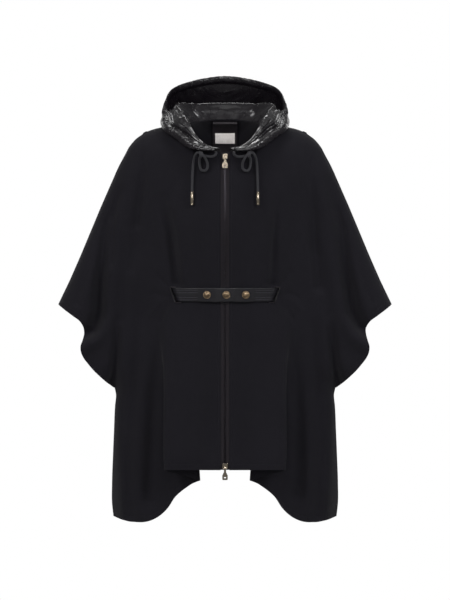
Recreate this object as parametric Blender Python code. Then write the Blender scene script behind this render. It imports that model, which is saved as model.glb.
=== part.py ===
"""A hooded zip-front poncho of black cloth, with a nylon hood and a belt, filled out as when it is worn.

The front faces -Y, +X is the viewer's right and +Z is up. The origin is at the base of the neck.
The two fronts and the back are cut wide, so that each side hangs as a sleeve over the arm and as a
long lobe below it. The belt draws the fronts in at the waist, and the back hangs free as a cape.
"""

import math

import bmesh
import bpy
import numpy as np
from mathutils.bvhtree import BVHTree

# Driving dimensions, in metres.
CLOTH = 0.002              # the poncho's cloth
NYLON = 0.0012             # the hood's nylon
GAP = 0.0003               # between pieces that are sewn or lie together
ZIP_HALF = 0.0097          # from the middle of the zip to a front's edge
TAPE_WIDTH = 0.018
TAPE_THICK = 0.001
BELT_Z = -0.3487
BELT_HEIGHT = 0.030
BELT_THICK = 0.0022
TAB_HALF = 0.063
TAB_SHIFT = 0.003          # the tab and its snaps sit a little to the right
SNAP_STEP = 0.0425
SNAP_RADIUS = 0.0085
CORD_RADIUS = 0.00275
CORD_TOP = -0.042          # above here the cord's depth is taken from the cloth at this height
AGLET_RADIUS = 0.0036
AGLET_LENGTH = 0.0295
CASING_HALF = 0.009        # half the width of the hood's drawcord casing
CASING_THICK = 0.0034      # half its thickness, with the cord inside
SHOULDER_TURN = 0.100      # how far the cloth takes to turn down over the shoulder
SLEEVE_TURN = 0.055        # and over the arm
SIDE_TURN = 0.060          # and round the side of a lobe

# Outlines of the right half, seen from the front: x, z.
NECK_FRONT = ((0.0097, -0.036), (0.040, -0.031), (0.062, -0.015), (0.0735, 0.008), (0.078, 0.0385))
NECK_BACK = ((0.0, 0.053), (0.022, 0.0525), (0.042, 0.050), (0.062, 0.0455), (0.0725, 0.0425),
             (0.078, 0.0385))
SHOULDER = ((0.078, 0.0385), (0.105, 0.0350), (0.140, 0.0290), (0.1654, 0.0225), (0.1913, 0.0090),
            (0.2085, -0.0065), (0.2171, -0.0180), (0.2239, -0.0315), (0.2385, -0.0585),
            (0.2565, -0.0990), (0.2801, -0.1530), (0.3026, -0.2070), (0.3251, -0.2610),
            (0.3488, -0.3150), (0.3746, -0.3690))
CUFF = ((0.3746, -0.3690), (0.3559, -0.3822), (0.3370, -0.3956), (0.3203, -0.4089),
        (0.3137, -0.4223), (0.3137, -0.4356), (0.3159, -0.4490), (0.3192, -0.4623),
        (0.3181, -0.4757), (0.3126, -0.4890), (0.3026, -0.5024), (0.2914, -0.5157),
        (0.2781, -0.5290), (0.2636, -0.5430), (0.2485, -0.5570))
SIDE = ((0.2485, -0.5570), (0.2453, -0.5715), (0.2475, -0.5985), (0.2498, -0.6525),
        (0.2520, -0.7065), (0.2543, -0.7740), (0.2543, -0.8150), (0.2510, -0.8460))
# The neck line carried on above the back, from which the cloth turns over to the back.
OVER_BACK = ((0.0, 0.075), (0.042, 0.070), (0.066, 0.055), (0.078, 0.0385))
OVER_FRONT = ((0.0, 0.044), (0.078, 0.0385))
NECK_SHARE = 0.20          # the part of a panel's top edge that is neck
CUFF_SHARE = 0.45          # the part of its outer edge that is cuff

# How deep the cloth stands off the middle plane: z, at the centre, at the arm, half width of the body.
FRONT_DEPTH = ((0.06, 0.104, 0.058, 0.21), (-0.03, 0.107, 0.058, 0.22), (-0.11, 0.119, 0.058, 0.22),
               (-0.20, 0.128, 0.058, 0.21), (-0.28, 0.116, 0.060, 0.20), (-0.35, 0.107, 0.062, 0.19),
               (-0.44, 0.115, 0.064, 0.20), (-0.58, 0.127, 0.062, 0.22), (-0.74, 0.136, 0.060, 0.24),
               (-0.86, 0.140, 0.056, 0.24))
BACK_DEPTH = ((0.09, 0.108, 0.058, 0.22), (0.02, 0.110, 0.058, 0.22), (-0.06, 0.119, 0.058, 0.24),
              (-0.14, 0.127, 0.060, 0.25), (-0.26, 0.128, 0.062, 0.26), (-0.36, 0.127, 0.064, 0.26),
              (-0.50, 0.136, 0.066, 0.26), (-0.74, 0.154, 0.064, 0.26), (-0.86, 0.158, 0.058, 0.26))

# The front's hem, folded on itself beside the middle: place along it, x, y, z.
FRONT_HEM = ((0.000, 0.0097, -0.1360, -0.7300), (0.250, 0.0720, -0.1345, -0.7300),
             (0.420, 0.1180, -0.1290, -0.7305), (0.475, 0.1295, -0.1255, -0.7310),
             (0.500, 0.1328, -0.1205, -0.7315), (0.525, 0.1285, -0.1155, -0.7330),
             (0.580, 0.0980, -0.1105, -0.7420), (0.635, 0.0630, -0.1055, -0.7530),
             (0.655, 0.0561, -0.1000, -0.7559), (0.675, 0.0620, -0.0945, -0.7590),
             (0.720, 0.0790, -0.0910, -0.7680), (0.770, 0.1094, -0.0870, -0.7933),
             (0.810, 0.1271, -0.0840, -0.8199), (0.850, 0.1480, -0.0800, -0.8390),
             (0.890, 0.1730, -0.0750, -0.8495), (0.930, 0.2000, -0.0680, -0.8510),
             (0.965, 0.2260, -0.0530, -0.8485), (1.000, 0.2510, -0.0002, -0.8460))
FOLD_AT = 0.50             # the column of the front's outer fold edge
FOLD_AT_BELT = 0.405       # the same edge's place at the belt, where the fold starts
FOLD_START = 0.47          # the row where it starts
# The back's hem: place along it, x, z.
BACK_HEM = ((0.00, 0.0000, -0.7380), (0.20, 0.0500, -0.7440), (0.36, 0.0920, -0.7640),
            (0.52, 0.1320, -0.8000), (0.68, 0.1720, -0.8330), (0.84, 0.2120, -0.8460),
            (1.00, 0.2510, -0.8460))

# Soft folds of the front: path in x, z, then how far the cloth goes in and over what width.
FRONT_FOLDS = (
    (((0.232, -0.100), (0.258, -0.200), (0.273, -0.320), (0.284, -0.385), (0.300, -0.418),
      (0.322, -0.433)), 0.020, 0.017),
    (((0.262, -0.400), (0.290, -0.445), (0.322, -0.468)), -0.010, 0.018),
    (((0.236, -0.415), (0.240, -0.470), (0.246, -0.520), (0.252, -0.548)), 0.018, 0.010),
    (((0.122, -0.140), (0.114, -0.220), (0.112, -0.315)), 0.011, 0.015),
    (((0.096, -0.150), (0.098, -0.220), (0.099, -0.310)), -0.005, 0.012),
    (((0.186, -0.030), (0.190, -0.090), (0.196, -0.150)), 0.006, 0.014),
)
BACK_FOLDS = (
    (((0.000, -0.200), (0.000, -0.450), (0.000, -0.760)), -0.008, 0.030),
    (((0.055, -0.230), (0.062, -0.480), (0.070, -0.770)), 0.015, 0.024),
    (((0.100, -0.150), (0.118, -0.450), (0.130, -0.800)), -0.012, 0.028),
    (((0.150, -0.170), (0.170, -0.450), (0.185, -0.850)), 0.016, 0.022),
    (((0.225, -0.130), (0.262, -0.260), (0.285, -0.385), (0.316, -0.440)), 0.018, 0.018),
)

# The hood, from the zip to the centre back: place round the neck, then x, y, z.
# The stand's top crease, the fall inside, the belly below it, the wall outside and the rim.
CREASE = ((0.00, 0.0115, -0.1065, -0.0300), (0.15, 0.0350, -0.1040, -0.0250),
          (0.30, 0.0575, -0.0955, -0.0060), (0.42, 0.0755, -0.0730, 0.0230),
          (0.52, 0.0870, -0.0420, 0.0470), (0.60, 0.0945, -0.0050, 0.0630),
          (0.75, 0.1080, 0.0450, 0.0870), (0.88, 0.0620, 0.0760, 0.0905),
          (1.00, 0.0000, 0.0860, 0.0920))
FALL = ((0.00, 0.0125, -0.1090, -0.0282), (0.15, 0.0370, -0.1075, -0.0228),
        (0.30, 0.0610, -0.0995, -0.0042), (0.42, 0.0805, -0.0765, 0.0235),
        (0.52, 0.0975, -0.0480, 0.0440), (0.60, 0.1045, -0.0045, 0.0620),
        (0.75, 0.1160, 0.0480, 0.0740), (0.88, 0.0820, 0.1040, 0.0400),
        (1.00, 0.0000, 0.1200, 0.0250))
BELLY = ((0.00, 0.0135, -0.1115, -0.0280), (0.15, 0.0395, -0.1110, -0.0228),
         (0.30, 0.0650, -0.1025, -0.0050), (0.42, 0.0860, -0.0800, 0.0195),
         (0.52, 0.1060, -0.0520, 0.0385), (0.60, 0.1140, -0.0045, 0.0590),
         (0.75, 0.1230, 0.0530, 0.0660), (0.88, 0.1000, 0.1290, 0.0020),
         (1.00, 0.0000, 0.1460, -0.0480))
WALL = ((0.00, 0.0145, -0.1140, -0.0285), (0.15, 0.0420, -0.1140, -0.0240),
        (0.30, 0.0690, -0.1045, -0.0078), (0.42, 0.0915, -0.0820, 0.0130),
        (0.52, 0.1155, -0.0540, 0.0320), (0.60, 0.1235, -0.0040, 0.0540),
        (0.75, 0.1310, 0.0580, 0.0680), (0.88, 0.1180, 0.1430, 0.0600),
        (1.00, 0.0000, 0.1800, 0.0450))
RIM = ((0.00, 0.0165, -0.1265, -0.0325), (0.15, 0.0475, -0.1265, -0.0300),
       (0.30, 0.0790, -0.1110, -0.0185), (0.42, 0.1030, -0.0860, 0.0020),
       (0.52, 0.1265, -0.0570, 0.0220), (0.60, 0.1370, -0.0040, 0.0440),
       (0.75, 0.1370, 0.0560, 0.0820), (0.88, 0.1060, 0.1180, 0.1260),
       (1.00, 0.0000, 0.1520, 0.1530))
CROWN_SEAM = 0.84          # where the hood's side panels meet its centre panel
NECK_RING_FRONT = 0.60     # the part of the half ring that lies on a front
CASING_START = 0.025       # where on the half ring the casing ends beside the zip

# The drawcord's free end, from the casing: x, z, and how far it lies in front of the cloth.
CORD_ROUTE = ((0.0195, -0.0368, 0.0240), (0.0190, -0.0400, 0.0235), (0.0210, -0.0440, 0.0215),
              (0.0262, -0.0470, 0.0195), (0.0331, -0.0474, 0.0180), (0.0420, -0.0458, 0.0175),
              (0.0500, -0.0448, 0.0165), (0.0548, -0.0485, 0.0130), (0.0560, -0.0565, 0.0090),
              (0.0552, -0.0660, 0.0065), (0.0525, -0.0745, 0.0060), (0.0462, -0.0780, 0.0060),
              (0.0400, -0.0745, 0.0065), (0.0380, -0.0660, 0.0090), (0.0402, -0.0565, 0.0150),
              (0.0455, -0.0475, 0.0235), (0.0515, -0.0405, 0.0255), (0.0575, -0.0385, 0.0250),
              (0.0635, -0.0415, 0.0195), (0.0672, -0.0490, 0.0130), (0.0692, -0.0590, 0.0090),
              (0.0706, -0.0769, 0.0070), (0.0715, -0.1000, 0.0070), (0.0719, -0.1224, 0.0085))

# The belt's hidden run inside, from the slot round to the centre back: x, y.
BELT_INSIDE = ((0.1420, -0.0620), (0.1530, -0.0200), (0.1500, 0.0250), (0.1300, 0.0660),
               (0.0950, 0.0920), (0.0500, 0.1040), (0.0000, 0.1080))
SLOT_X = 0.1090            # the middle of a belt slot, at the belt's mid height
SLOT_LEAN = 0.37           # how far it leans out for each metre up
SLOT_WIDTH = 0.0100
SLOT_HEIGHT = 0.0316


def material(name, colour, roughness, metallic=0.0):
    made = bpy.data.materials.new(name)
    made.use_nodes = True
    shader = made.node_tree.nodes["Principled BSDF"]
    shader.inputs["Base Color"].default_value = (*colour, 1.0)
    shader.inputs["Roughness"].default_value = roughness
    shader.inputs["Metallic"].default_value = metallic
    return made


def spline(keys, values, at):
    """Values at the given places along a smooth curve through the rows of a table."""
    keys = np.asarray(keys, float)
    values = np.asarray(values, float).reshape(len(keys), -1)
    steps = np.diff(keys)[:, None]
    runs = np.diff(values, axis=0) / steps
    slopes = np.empty_like(values)
    slopes[0] = runs[0]
    slopes[-1] = runs[-1]
    slopes[1:-1] = (runs[:-1] * steps[1:] + runs[1:] * steps[:-1]) / (steps[:-1] + steps[1:])
    at = np.clip(np.asarray(at, float), keys[0], keys[-1])
    row = np.clip(np.searchsorted(keys, at, side="right") - 1, 0, len(keys) - 2)
    step = np.diff(keys)[row][..., None]
    t = ((at - keys[row]) / np.diff(keys)[row])[..., None]
    near = values[row] * (1 + 2 * t) * (1 - t) ** 2 + values[row + 1] * t * t * (3 - 2 * t)
    return near + step * (slopes[row] * t * (1 - t) ** 2 - slopes[row + 1] * t * t * (1 - t))


def lengths(points):
    """How far along it each point of a line lies, as a share of its length."""
    points = np.asarray(points, float)
    run = np.concatenate([[0.0], np.cumsum(np.linalg.norm(np.diff(points, axis=0), axis=1))])
    return run / run[-1]


def two_part(first, second, share, at):
    """A point on an edge made of two lines, the first of which takes the given share of it."""
    at = np.asarray(at, float)
    one = spline(lengths(first), first, at / share)
    two = spline(lengths(second), second, (at - share) / (1 - share))
    return np.where((at < share)[..., None], one, two)


def distance(x, z, line):
    """How far points are from a line in the x, z plane, and where along it the nearest place is."""
    line = np.asarray(line, float)
    marks = lengths(line)
    best = np.full(np.shape(x), 1e9)
    place = np.zeros(np.shape(x))
    for start, end, mark, next_mark in zip(line[:-1], line[1:], marks[:-1], marks[1:]):
        run = end - start
        t = ((x - start[0]) * run[0] + (z - start[1]) * run[1]) / (run @ run)
        t = np.clip(t, 0.0, 1.0)
        far = np.hypot(x - start[0] - t * run[0], z - start[1] - t * run[1])
        closer = far < best
        best = np.where(closer, far, best)
        place = np.where(closer, mark + t * (next_mark - mark), place)
    return best, place


def turn(far, reach):
    """The quarter round by which cloth turns over an edge: 0 on it, 1 past its reach."""
    return np.sqrt(1 - (1 - np.clip(far / reach, 0.0, 1.0)) ** 2)


def folds_at(x, z, folds):
    """How far the soft folds push the cloth in."""
    total = np.zeros(np.shape(x))
    for path, depth, width in folds:
        far, place = distance(x, z, path)
        swell = np.sin(np.pi * np.clip(0.12 + 0.88 * place, 0.0, 1.0) ** 0.8 * 0.62) ** 1.5
        total = total + depth * swell * np.exp(-((far / width) ** 2))
    return total


def stand_off(x, z, table, over, folds):
    """How far the cloth of the front or of the back stands off the middle plane."""
    x = np.abs(x)
    keys = -np.array([row[0] for row in table])
    centre, arm, width = np.moveaxis(spline(keys, [row[1:] for row in table], -z), -1, 0)
    body = (1 - np.clip(x / width, 0.0, 1.0) ** 2) ** 2
    depth = arm + (centre - arm) * body
    above, _ = distance(x, z, over + SHOULDER[1:])
    sleeve = np.clip((x - 0.10) / 0.12, 0.0, 1.0)
    top = turn(above, SHOULDER_TURN + (SLEEVE_TURN - SHOULDER_TURN) * sleeve)
    beside, _ = distance(x, z, SIDE)
    rounded = top * turn(beside, SIDE_TURN)
    return rounded * depth - folds_at(x, z, folds) * np.clip(rounded * 1.6 - 0.4, 0.0, 1.0)


def front_y(x, z):
    return -stand_off(x, z, FRONT_DEPTH, OVER_FRONT, FRONT_FOLDS)


def back_y(x, z):
    return stand_off(x, z, BACK_DEPTH, OVER_BACK, BACK_FOLDS)


def patch(top, bottom, inner, outer, u, v):
    """A surface between four edges, given as x, z arrays at u or v."""
    corners = ((1 - u) * (1 - v) * inner[:1, :1] + u * (1 - v) * outer[:1, :1]
               + (1 - u) * v * inner[-1:, :1] + u * v * outer[-1:, :1])
    return (1 - v) * top + v * bottom + (1 - u) * inner + u * outer - corners


def panel_xz(u, v, neck, hem, inner_x):
    """Where a point of the right half of a panel lies, seen from the front."""
    top = two_part(neck, SHOULDER, NECK_SHARE, u)
    outer = two_part(CUFF, SIDE, CUFF_SHARE, v)
    keys = [row[0] for row in hem]
    low = spline(keys, [(row[1], row[-1]) for row in hem], u)
    if hem is FRONT_HEM:
        low[..., 0] = inner_x + (SIDE[-1][0] - inner_x) * u
    inner = np.stack([np.full(np.shape(v), inner_x), neck[0][1] + (hem[0][-1] - neck[0][1]) * v], -1)
    return patch(top, low, inner, outer, u[..., None], v[..., None])


def front_surface(columns, rows):
    """The outer face of the right front, as rows of points."""
    v, folded = np.meshgrid(rows, columns, indexing="ij")
    share = np.clip((1 - v) / (1 - FOLD_START), 0.0, 1.0)
    move = (FOLD_AT_BELT - FOLD_AT) * share
    u = folded + move * np.where(folded < FOLD_AT, folded / FOLD_AT, (1 - folded) / (1 - FOLD_AT))
    place = panel_xz(u, v, NECK_FRONT, FRONT_HEM, ZIP_HALF)
    x, z = place[..., 0], place[..., 1]
    hem = spline([row[0] for row in FRONT_HEM], [row[1:] for row in FRONT_HEM], folded)
    flat_x = ZIP_HALF + (SIDE[-1][0] - ZIP_HALF) * folded
    grown = np.clip((v - FOLD_START) / (1 - FOLD_START), 0.0, 1.0) ** 1.25
    x = x + grown * (hem[..., 0] - flat_x)
    y = front_y(x, z) + grown * (hem[..., 1] - front_y(hem[..., 0], hem[..., 2]))
    points = np.stack([x, np.minimum(y, -GAP / 2), z], -1)
    points[0, columns >= NECK_SHARE, 1] = -GAP / 2
    points[rows >= CUFF_SHARE, -1, 1] = -GAP / 2
    return points


def back_surface(columns, rows):
    """The outer face of the whole back, from its left edge to its right edge."""
    v, u = np.meshgrid(rows, np.abs(columns), indexing="ij")
    place = panel_xz(u, v, NECK_BACK, BACK_HEM, 0.0)
    x, z = place[..., 0] * np.sign(columns), place[..., 1]
    points = np.stack([x, np.maximum(back_y(x, z), GAP / 2), z], -1)
    points[0, np.abs(columns) >= NECK_SHARE, 1] = GAP / 2
    for side in (0, -1):
        points[rows >= CUFF_SHARE, side, 1] = GAP / 2
    return points


def normals(grid):
    """Unit normals of a grid of points."""
    down = np.gradient(grid, axis=0)
    along = np.gradient(grid, axis=1)
    normal = np.cross(along, down)
    return normal / np.maximum(np.linalg.norm(normal, axis=-1, keepdims=True), 1e-12)


def slope_normal(grid, depth_of):
    """Normals of the cloth from how its depth changes, which hold at the corner of the neck."""
    step = 0.0008
    x, z = grid[..., 0], grid[..., 2]
    along = (depth_of(x + step, z) - depth_of(x - step, z)) / (2 * step)
    up = (depth_of(x, z + step) - depth_of(x, z - step)) / (2 * step)
    normal = np.stack([-along, np.ones(np.shape(x)), -up], -1)
    return normal / np.linalg.norm(normal, axis=-1, keepdims=True)


def inside_of(grid, thickness, seam=None, depth_of=None):
    """The other face of a wall. At a seam it stays on its own side of the middle plane."""
    normal = normals(grid)
    if seam is not None:
        normal[:SLOPED_ROWS] = slope_normal(grid[:SLOPED_ROWS], depth_of)
        normal[0, seam[0]] = normal[1, seam[0]]
        normal[seam, 1] = 0.0
    normal /= np.linalg.norm(normal, axis=-1, keepdims=True)
    return grid - thickness * normal


def add_object(name, vertices, faces, coat, smooth=40):
    mesh = bpy.data.meshes.new(name)
    mesh.from_pydata([tuple(p) for p in vertices], [], faces)
    body = bmesh.new()
    body.from_mesh(mesh)
    bmesh.ops.recalc_face_normals(body, faces=body.faces)
    bmesh.ops.triangulate(body, faces=body.faces)
    body.to_mesh(mesh)
    body.free()
    mesh.shade_smooth()
    mesh.set_sharp_from_angle(angle=math.radians(smooth))
    made = bpy.data.objects.new(name, mesh)
    bpy.context.collection.objects.link(made)
    mesh.materials.append(coat)
    return made


def wall(name, outer, inner, coat):
    """A closed wall between two grids of points."""
    rows, columns = outer.shape[:2]
    number = np.arange(rows * columns).reshape(rows, columns)
    far = number + rows * columns
    faces = []
    for r in range(rows - 1):
        for c in range(columns - 1):
            faces.append((number[r, c], number[r, c + 1], number[r + 1, c + 1], number[r + 1, c]))
            faces.append((far[r, c], far[r + 1, c], far[r + 1, c + 1], far[r, c + 1]))
    edge = (list(number[0]) + list(number[1:, -1]) + list(number[-1, -2::-1])
            + list(number[-2:0:-1, 0]))
    for here, there in zip(edge, edge[1:] + edge[:1]):
        faces.append((here, here + rows * columns, there + rows * columns, there))
    faces = [tuple(int(corner) for corner in face) for face in faces]
    return add_object(name, np.concatenate([outer.reshape(-1, 3), inner.reshape(-1, 3)]), faces, coat)


def mirrored(points):
    return points * np.array([-1.0, 1.0, 1.0])


def loft(name, rings, coat, smooth=50):
    """A closed solid through rings of points, with flat ends."""
    rings = np.asarray(rings, float)
    count = rings.shape[1]
    faces = []
    for r in range(len(rings) - 1):
        for c in range(count):
            here, there = r * count + c, r * count + (c + 1) % count
            faces.append((here, there, there + count, here + count))
    faces.append(tuple(range(count)))
    faces.append(tuple(range((len(rings) - 1) * count, len(rings) * count)))
    return add_object(name, rings.reshape(-1, 3), faces, coat, smooth)


def block(name, centre, size, coat, bevel=0.0):
    low, high = np.subtract(centre, np.divide(size, 2)), np.add(centre, np.divide(size, 2))
    ring = [(low[0], low[1]), (high[0], low[1]), (high[0], high[1]), (low[0], high[1])]
    made = loft(name, [[(x, y, z) for x, y in ring] for z in (low[2], high[2])], coat, 30)
    if bevel:
        rounding = made.modifiers.new("Rounding", "BEVEL")
        rounding.width = bevel
        rounding.segments = 2
    return made


def joined(made, *others, operation="UNION"):
    """Add other solids to one, or cut them from it, and remove them."""
    for other in others:
        change = made.modifiers.new(other.name, "BOOLEAN")
        change.object = other
        change.operation = operation
        change.solver = "EXACT"
    bpy.context.view_layer.update()
    depsgraph = bpy.context.evaluated_depsgraph_get()
    mesh = bpy.data.meshes.new_from_object(made.evaluated_get(depsgraph))
    made.modifiers.clear()
    made.data = mesh
    for other in others:
        bpy.data.objects.remove(other, do_unlink=True)
    return made


for leftover in list(bpy.data.objects):
    bpy.data.objects.remove(leftover, do_unlink=True)

cloth = material("Black cloth", (0.016, 0.016, 0.019), 0.9)
nylon = material("Black lacquered nylon", (0.012, 0.012, 0.015), 0.25)
belting = material("Black belting", (0.020, 0.020, 0.023), 0.5)
tape = material("Zip tape", (0.022, 0.021, 0.025), 0.8)
cord = material("Black cord", (0.030, 0.030, 0.034), 0.7)
gilt = material("Light gold metal", (0.86, 0.62, 0.30), 0.25, 1.0)
cream = material("Cream label", (0.80, 0.76, 0.68), 0.7)


walls = {}                 # the faces of the fronts and the back, once they are made

# The two fronts and the back. A box leaning with the slot cuts the belt's slot in each front.
FRONT_COLUMNS = np.array([0.0, 0.045, 0.09, 0.13, 0.165, 0.20, 0.28, 0.36, 0.43, 0.475, 0.50, 0.525,
                          0.58, 0.635, 0.655, 0.675, 0.72, 0.77, 0.82, 0.87, 0.92, 0.96, 0.985, 1.0])
PANEL_ROWS = np.array([0.0, 0.004, 0.015, 0.036, 0.07, 0.11, 0.15, 0.19, 0.23, 0.27, 0.315, 0.36,
                       0.405, 0.45, 0.50, 0.56, 0.62, 0.69, 0.76, 0.83, 0.90, 0.955, 1.0])
SLOPED_ROWS = 10           # the rows above the arm, where the cloth is no more than one layer
BACK_HALF = np.array([0.05, 0.10, 0.15, 0.20, 0.27, 0.34, 0.41, 0.48, 0.56, 0.64, 0.72, 0.80, 0.88, 0.94,
                      0.98, 1.0])


def front_faces():
    """The outer and inner faces of the right front."""
    outer = front_surface(FRONT_COLUMNS, PANEL_ROWS)
    seam = np.zeros(outer.shape[:2], bool)
    seam[0, FRONT_COLUMNS >= NECK_SHARE] = True
    seam[PANEL_ROWS >= CUFF_SHARE, -1] = True
    return outer, inside_of(outer, -CLOTH, seam, front_y)


def slot_cutter(name, side):
    """A leaning box through a front, where the belt goes in."""
    rings = []
    for end in (-0.5, 0.5):
        z = BELT_Z + end * SLOT_HEIGHT
        x = SLOT_X + end * SLOT_HEIGHT * SLOT_LEAN
        rings.append([(side * (x + dx * SLOT_WIDTH / 2), y, z)
                      for dx, y in ((-1, -0.13), (1, -0.13), (1, -0.06), (-1, -0.06))])
    return loft(name, rings, cloth, 30)


def tree_of(made):
    """The faces of a wall, to find where pieces that lie on it go."""
    made.data.calc_loop_triangles()
    corners = [vertex.co.copy() for vertex in made.data.vertices]
    return BVHTree.FromPolygons(corners, [tuple(face.vertices) for face in made.data.loop_triangles])


def met(tree, x, z, start, way):
    """The y at which lines along Y first meet a wall."""
    def one(px, pz):
        return tree.ray_cast((abs(float(px)), start, float(pz)), (0.0, way, 0.0))[0].y
    return np.vectorize(one)(x, z)


def on_front(x, z):
    """The outer face of the fronts."""
    return met(walls["front"], np.maximum(np.abs(x), ZIP_HALF + 0.0002), z, -1.0, 1.0)


def in_front(x, z):
    """The inner face of the fronts."""
    return met(walls["front"], np.maximum(np.abs(x), ZIP_HALF + 0.0002), z, 0.0, -1.0)


def in_back(x, z):
    """The inner face of the back."""
    return met(walls["back"], x, z, 0.0, 1.0)


def make_fronts():
    outer, inner = front_faces()
    right = wall("front_right", outer, inner, cloth)
    left = wall("front_left", mirrored(outer), mirrored(inner), cloth)
    walls["front"] = tree_of(right)
    walls["neck front"] = outer[0, FRONT_COLUMNS <= NECK_SHARE]
    joined(right, slot_cutter("slot_right", 1), operation="DIFFERENCE")
    joined(left, slot_cutter("slot_left", -1), operation="DIFFERENCE")


def make_back():
    columns = np.concatenate([-BACK_HALF[::-1], [0.0], BACK_HALF])
    outer = back_surface(columns, PANEL_ROWS)
    seam = np.zeros(outer.shape[:2], bool)
    seam[0, np.abs(columns) >= NECK_SHARE] = True
    seam[PANEL_ROWS >= CUFF_SHARE, 0] = True
    seam[PANEL_ROWS >= CUFF_SHARE, -1] = True
    made = wall("back", outer, inside_of(outer, CLOTH, seam, back_y), cloth)
    walls["back"] = tree_of(made)
    walls["neck back"] = outer[0, (columns >= 0) & (columns <= NECK_SHARE)]


# The hood: two side panels and a centre panel, each a wall on sections round the neck.
def neck_ring(places):
    """The neck seam's points round half the neck, from the zip to the centre back."""
    front, back = walls["neck front"], walls["neck back"]
    places = np.asarray(places, float)
    ring = np.empty((len(places), 3))
    for axis in range(3):
        on_front = np.interp(places / NECK_RING_FRONT, lengths(front), front[:, axis])
        behind = np.interp((1 - places) / (1 - NECK_RING_FRONT), lengths(back), back[:, axis])
        ring[:, axis] = np.where(places < NECK_RING_FRONT, on_front, behind)
    inward = -ring[:, :2] / np.linalg.norm(ring[:, :2], axis=1, keepdims=True)
    ring[:, :2] += inward * CLOTH * 0.4
    ring[:, 2] += 2 * GAP
    return ring


def guide(table, places):
    """A guide curve of the hood, carried on past the centre back so that it is smooth there."""
    place, x, y, z = table[-2]
    table = table + ((2 - place, -x, y, z),)
    return spline([row[0] for row in table], [row[1:] for row in table], places)


def rim_frame(places):
    """The casing's centre line and the way its width lies."""
    rim = guide(RIM, places)
    along = rim - guide(WALL, places)
    return rim, along / np.linalg.norm(along, axis=-1, keepdims=True)


def hood_surface(places, section):
    """The hood's outer face: rows go up a section, columns go round the neck."""
    ring = neck_ring(places)
    crease, fall, belly, side = (guide(table, places) for table in (CREASE, FALL, BELLY, WALL))
    rim, along = rim_frame(places)
    edge = rim - along * (CASING_HALF + 2.5 * GAP)
    over = crease * 0.8 + fall * 0.2 + np.array([0.0, 0.0, 0.0015])
    lines = np.stack([ring, ring * 0.45 + crease * 0.55, crease, over, fall, belly, side, edge])
    keys = np.array([0.0, 0.10, 0.20, 0.24, 0.45, 0.66, 0.85, 1.0])
    flat = spline(keys, lines.reshape(len(keys), -1), section)
    return flat.reshape(len(section), len(places), 3)


HOOD_SECTION = np.array([0.0, 0.10, 0.17, 0.20, 0.24, 0.33, 0.45, 0.55, 0.66, 0.75, 0.85, 0.93, 1.0])
SEAM_STEP = 0.0030         # the place along the ring that a seam's gap takes
HOOD_SIDE = 17             # the columns of a side panel


def make_hood():
    places = np.concatenate([np.linspace(0.0, CROWN_SEAM - SEAM_STEP, HOOD_SIDE),
                             np.linspace(CROWN_SEAM, 1.0, 5)])
    face = hood_surface(places, HOOD_SECTION)
    past_middle = mirrored(face[:, -2:-1])
    under = inside_of(np.concatenate([face, past_middle], axis=1), NYLON)[:, :-1]
    depth = under - face
    depth[:, HOOD_SIDE - 1:HOOD_SIDE + 1] = depth[:, HOOD_SIDE - 1:HOOD_SIDE + 1].mean(1, keepdims=True)
    under = face + depth
    wall("hood_right", face[:, :HOOD_SIDE], under[:, :HOOD_SIDE], nylon)
    wall("hood_left", mirrored(face[:, :HOOD_SIDE]), mirrored(under[:, :HOOD_SIDE]), nylon)
    under[:, -1, 0] = 0.0
    halves = [np.concatenate([grid[:, HOOD_SIDE:], mirrored(grid[:, -2:HOOD_SIDE - 1:-1])], axis=1)
              for grid in (face, under)]
    wall("hood_centre", *halves, nylon)


def make_casing():
    """The drawcord casing along the hood's rim, flat and full of cord, from one end to the other."""
    rim, along = rim_frame(np.linspace(CASING_START, 1.0, 22))
    forward = np.gradient(rim, axis=0)
    forward[-1] = (-1.0, 0.0, 0.0)
    out = np.cross(along, forward)
    out /= np.linalg.norm(out, axis=-1, keepdims=True)
    rings = []
    for step in range(8):
        angle = 2 * math.pi * step / 8
        rings.append(rim + along * CASING_HALF * math.cos(angle) + out * CASING_THICK * math.sin(angle))
    half = np.stack(rings, axis=1)
    rings = np.concatenate([half, mirrored(half[-2::-1])])
    loft("hood_casing", rings, nylon)


def make_neck_pieces():
    """Inside the back: a nylon strip, the bare label on it and a hanger loop over its top."""
    def strip(name, half, top, bottom, lift, thick, coat, columns, rows):
        z, x = np.meshgrid(np.linspace(top, bottom, rows), np.linspace(-half, half, columns),
                           indexing="ij")
        near = in_back(x, z) - lift
        far = near - thick
        wall(name, np.stack([x, far, z], -1), np.stack([x, near, z], -1), coat)

    strip("neck_strip", 0.0285, 0.0485, -0.0480, 0.0009, 0.0009, nylon, 7, 10)
    strip("label", 0.0225, 0.0235, 0.0005, 0.0029, 0.0007, cream, 7, 4)
    strip("hanger_loop", 0.0270, 0.0470, 0.0410, 0.0026, 0.0018, nylon, 7, 2)


# The zip: a tape under each front's edge, and at each end a slider with its pull.
ZIP_TOP = -0.0365
ZIP_BOTTOM = -0.7295
TAPE_ROWS = np.linspace(ZIP_TOP, ZIP_BOTTOM, 25)
TAPE_REACH = 0.012         # how far up and down a row of the tape keeps clear of the cloth


def tape_face(x):
    """The front face of a tape, at each of its rows."""
    seats = [in_front(np.full(len(TAPE_ROWS), x), np.clip(TAPE_ROWS + step, ZIP_BOTTOM, ZIP_TOP))
             for step in (-TAPE_REACH, 0.0, TAPE_REACH)]
    return np.max(seats, axis=0) + 2 * GAP


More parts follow.
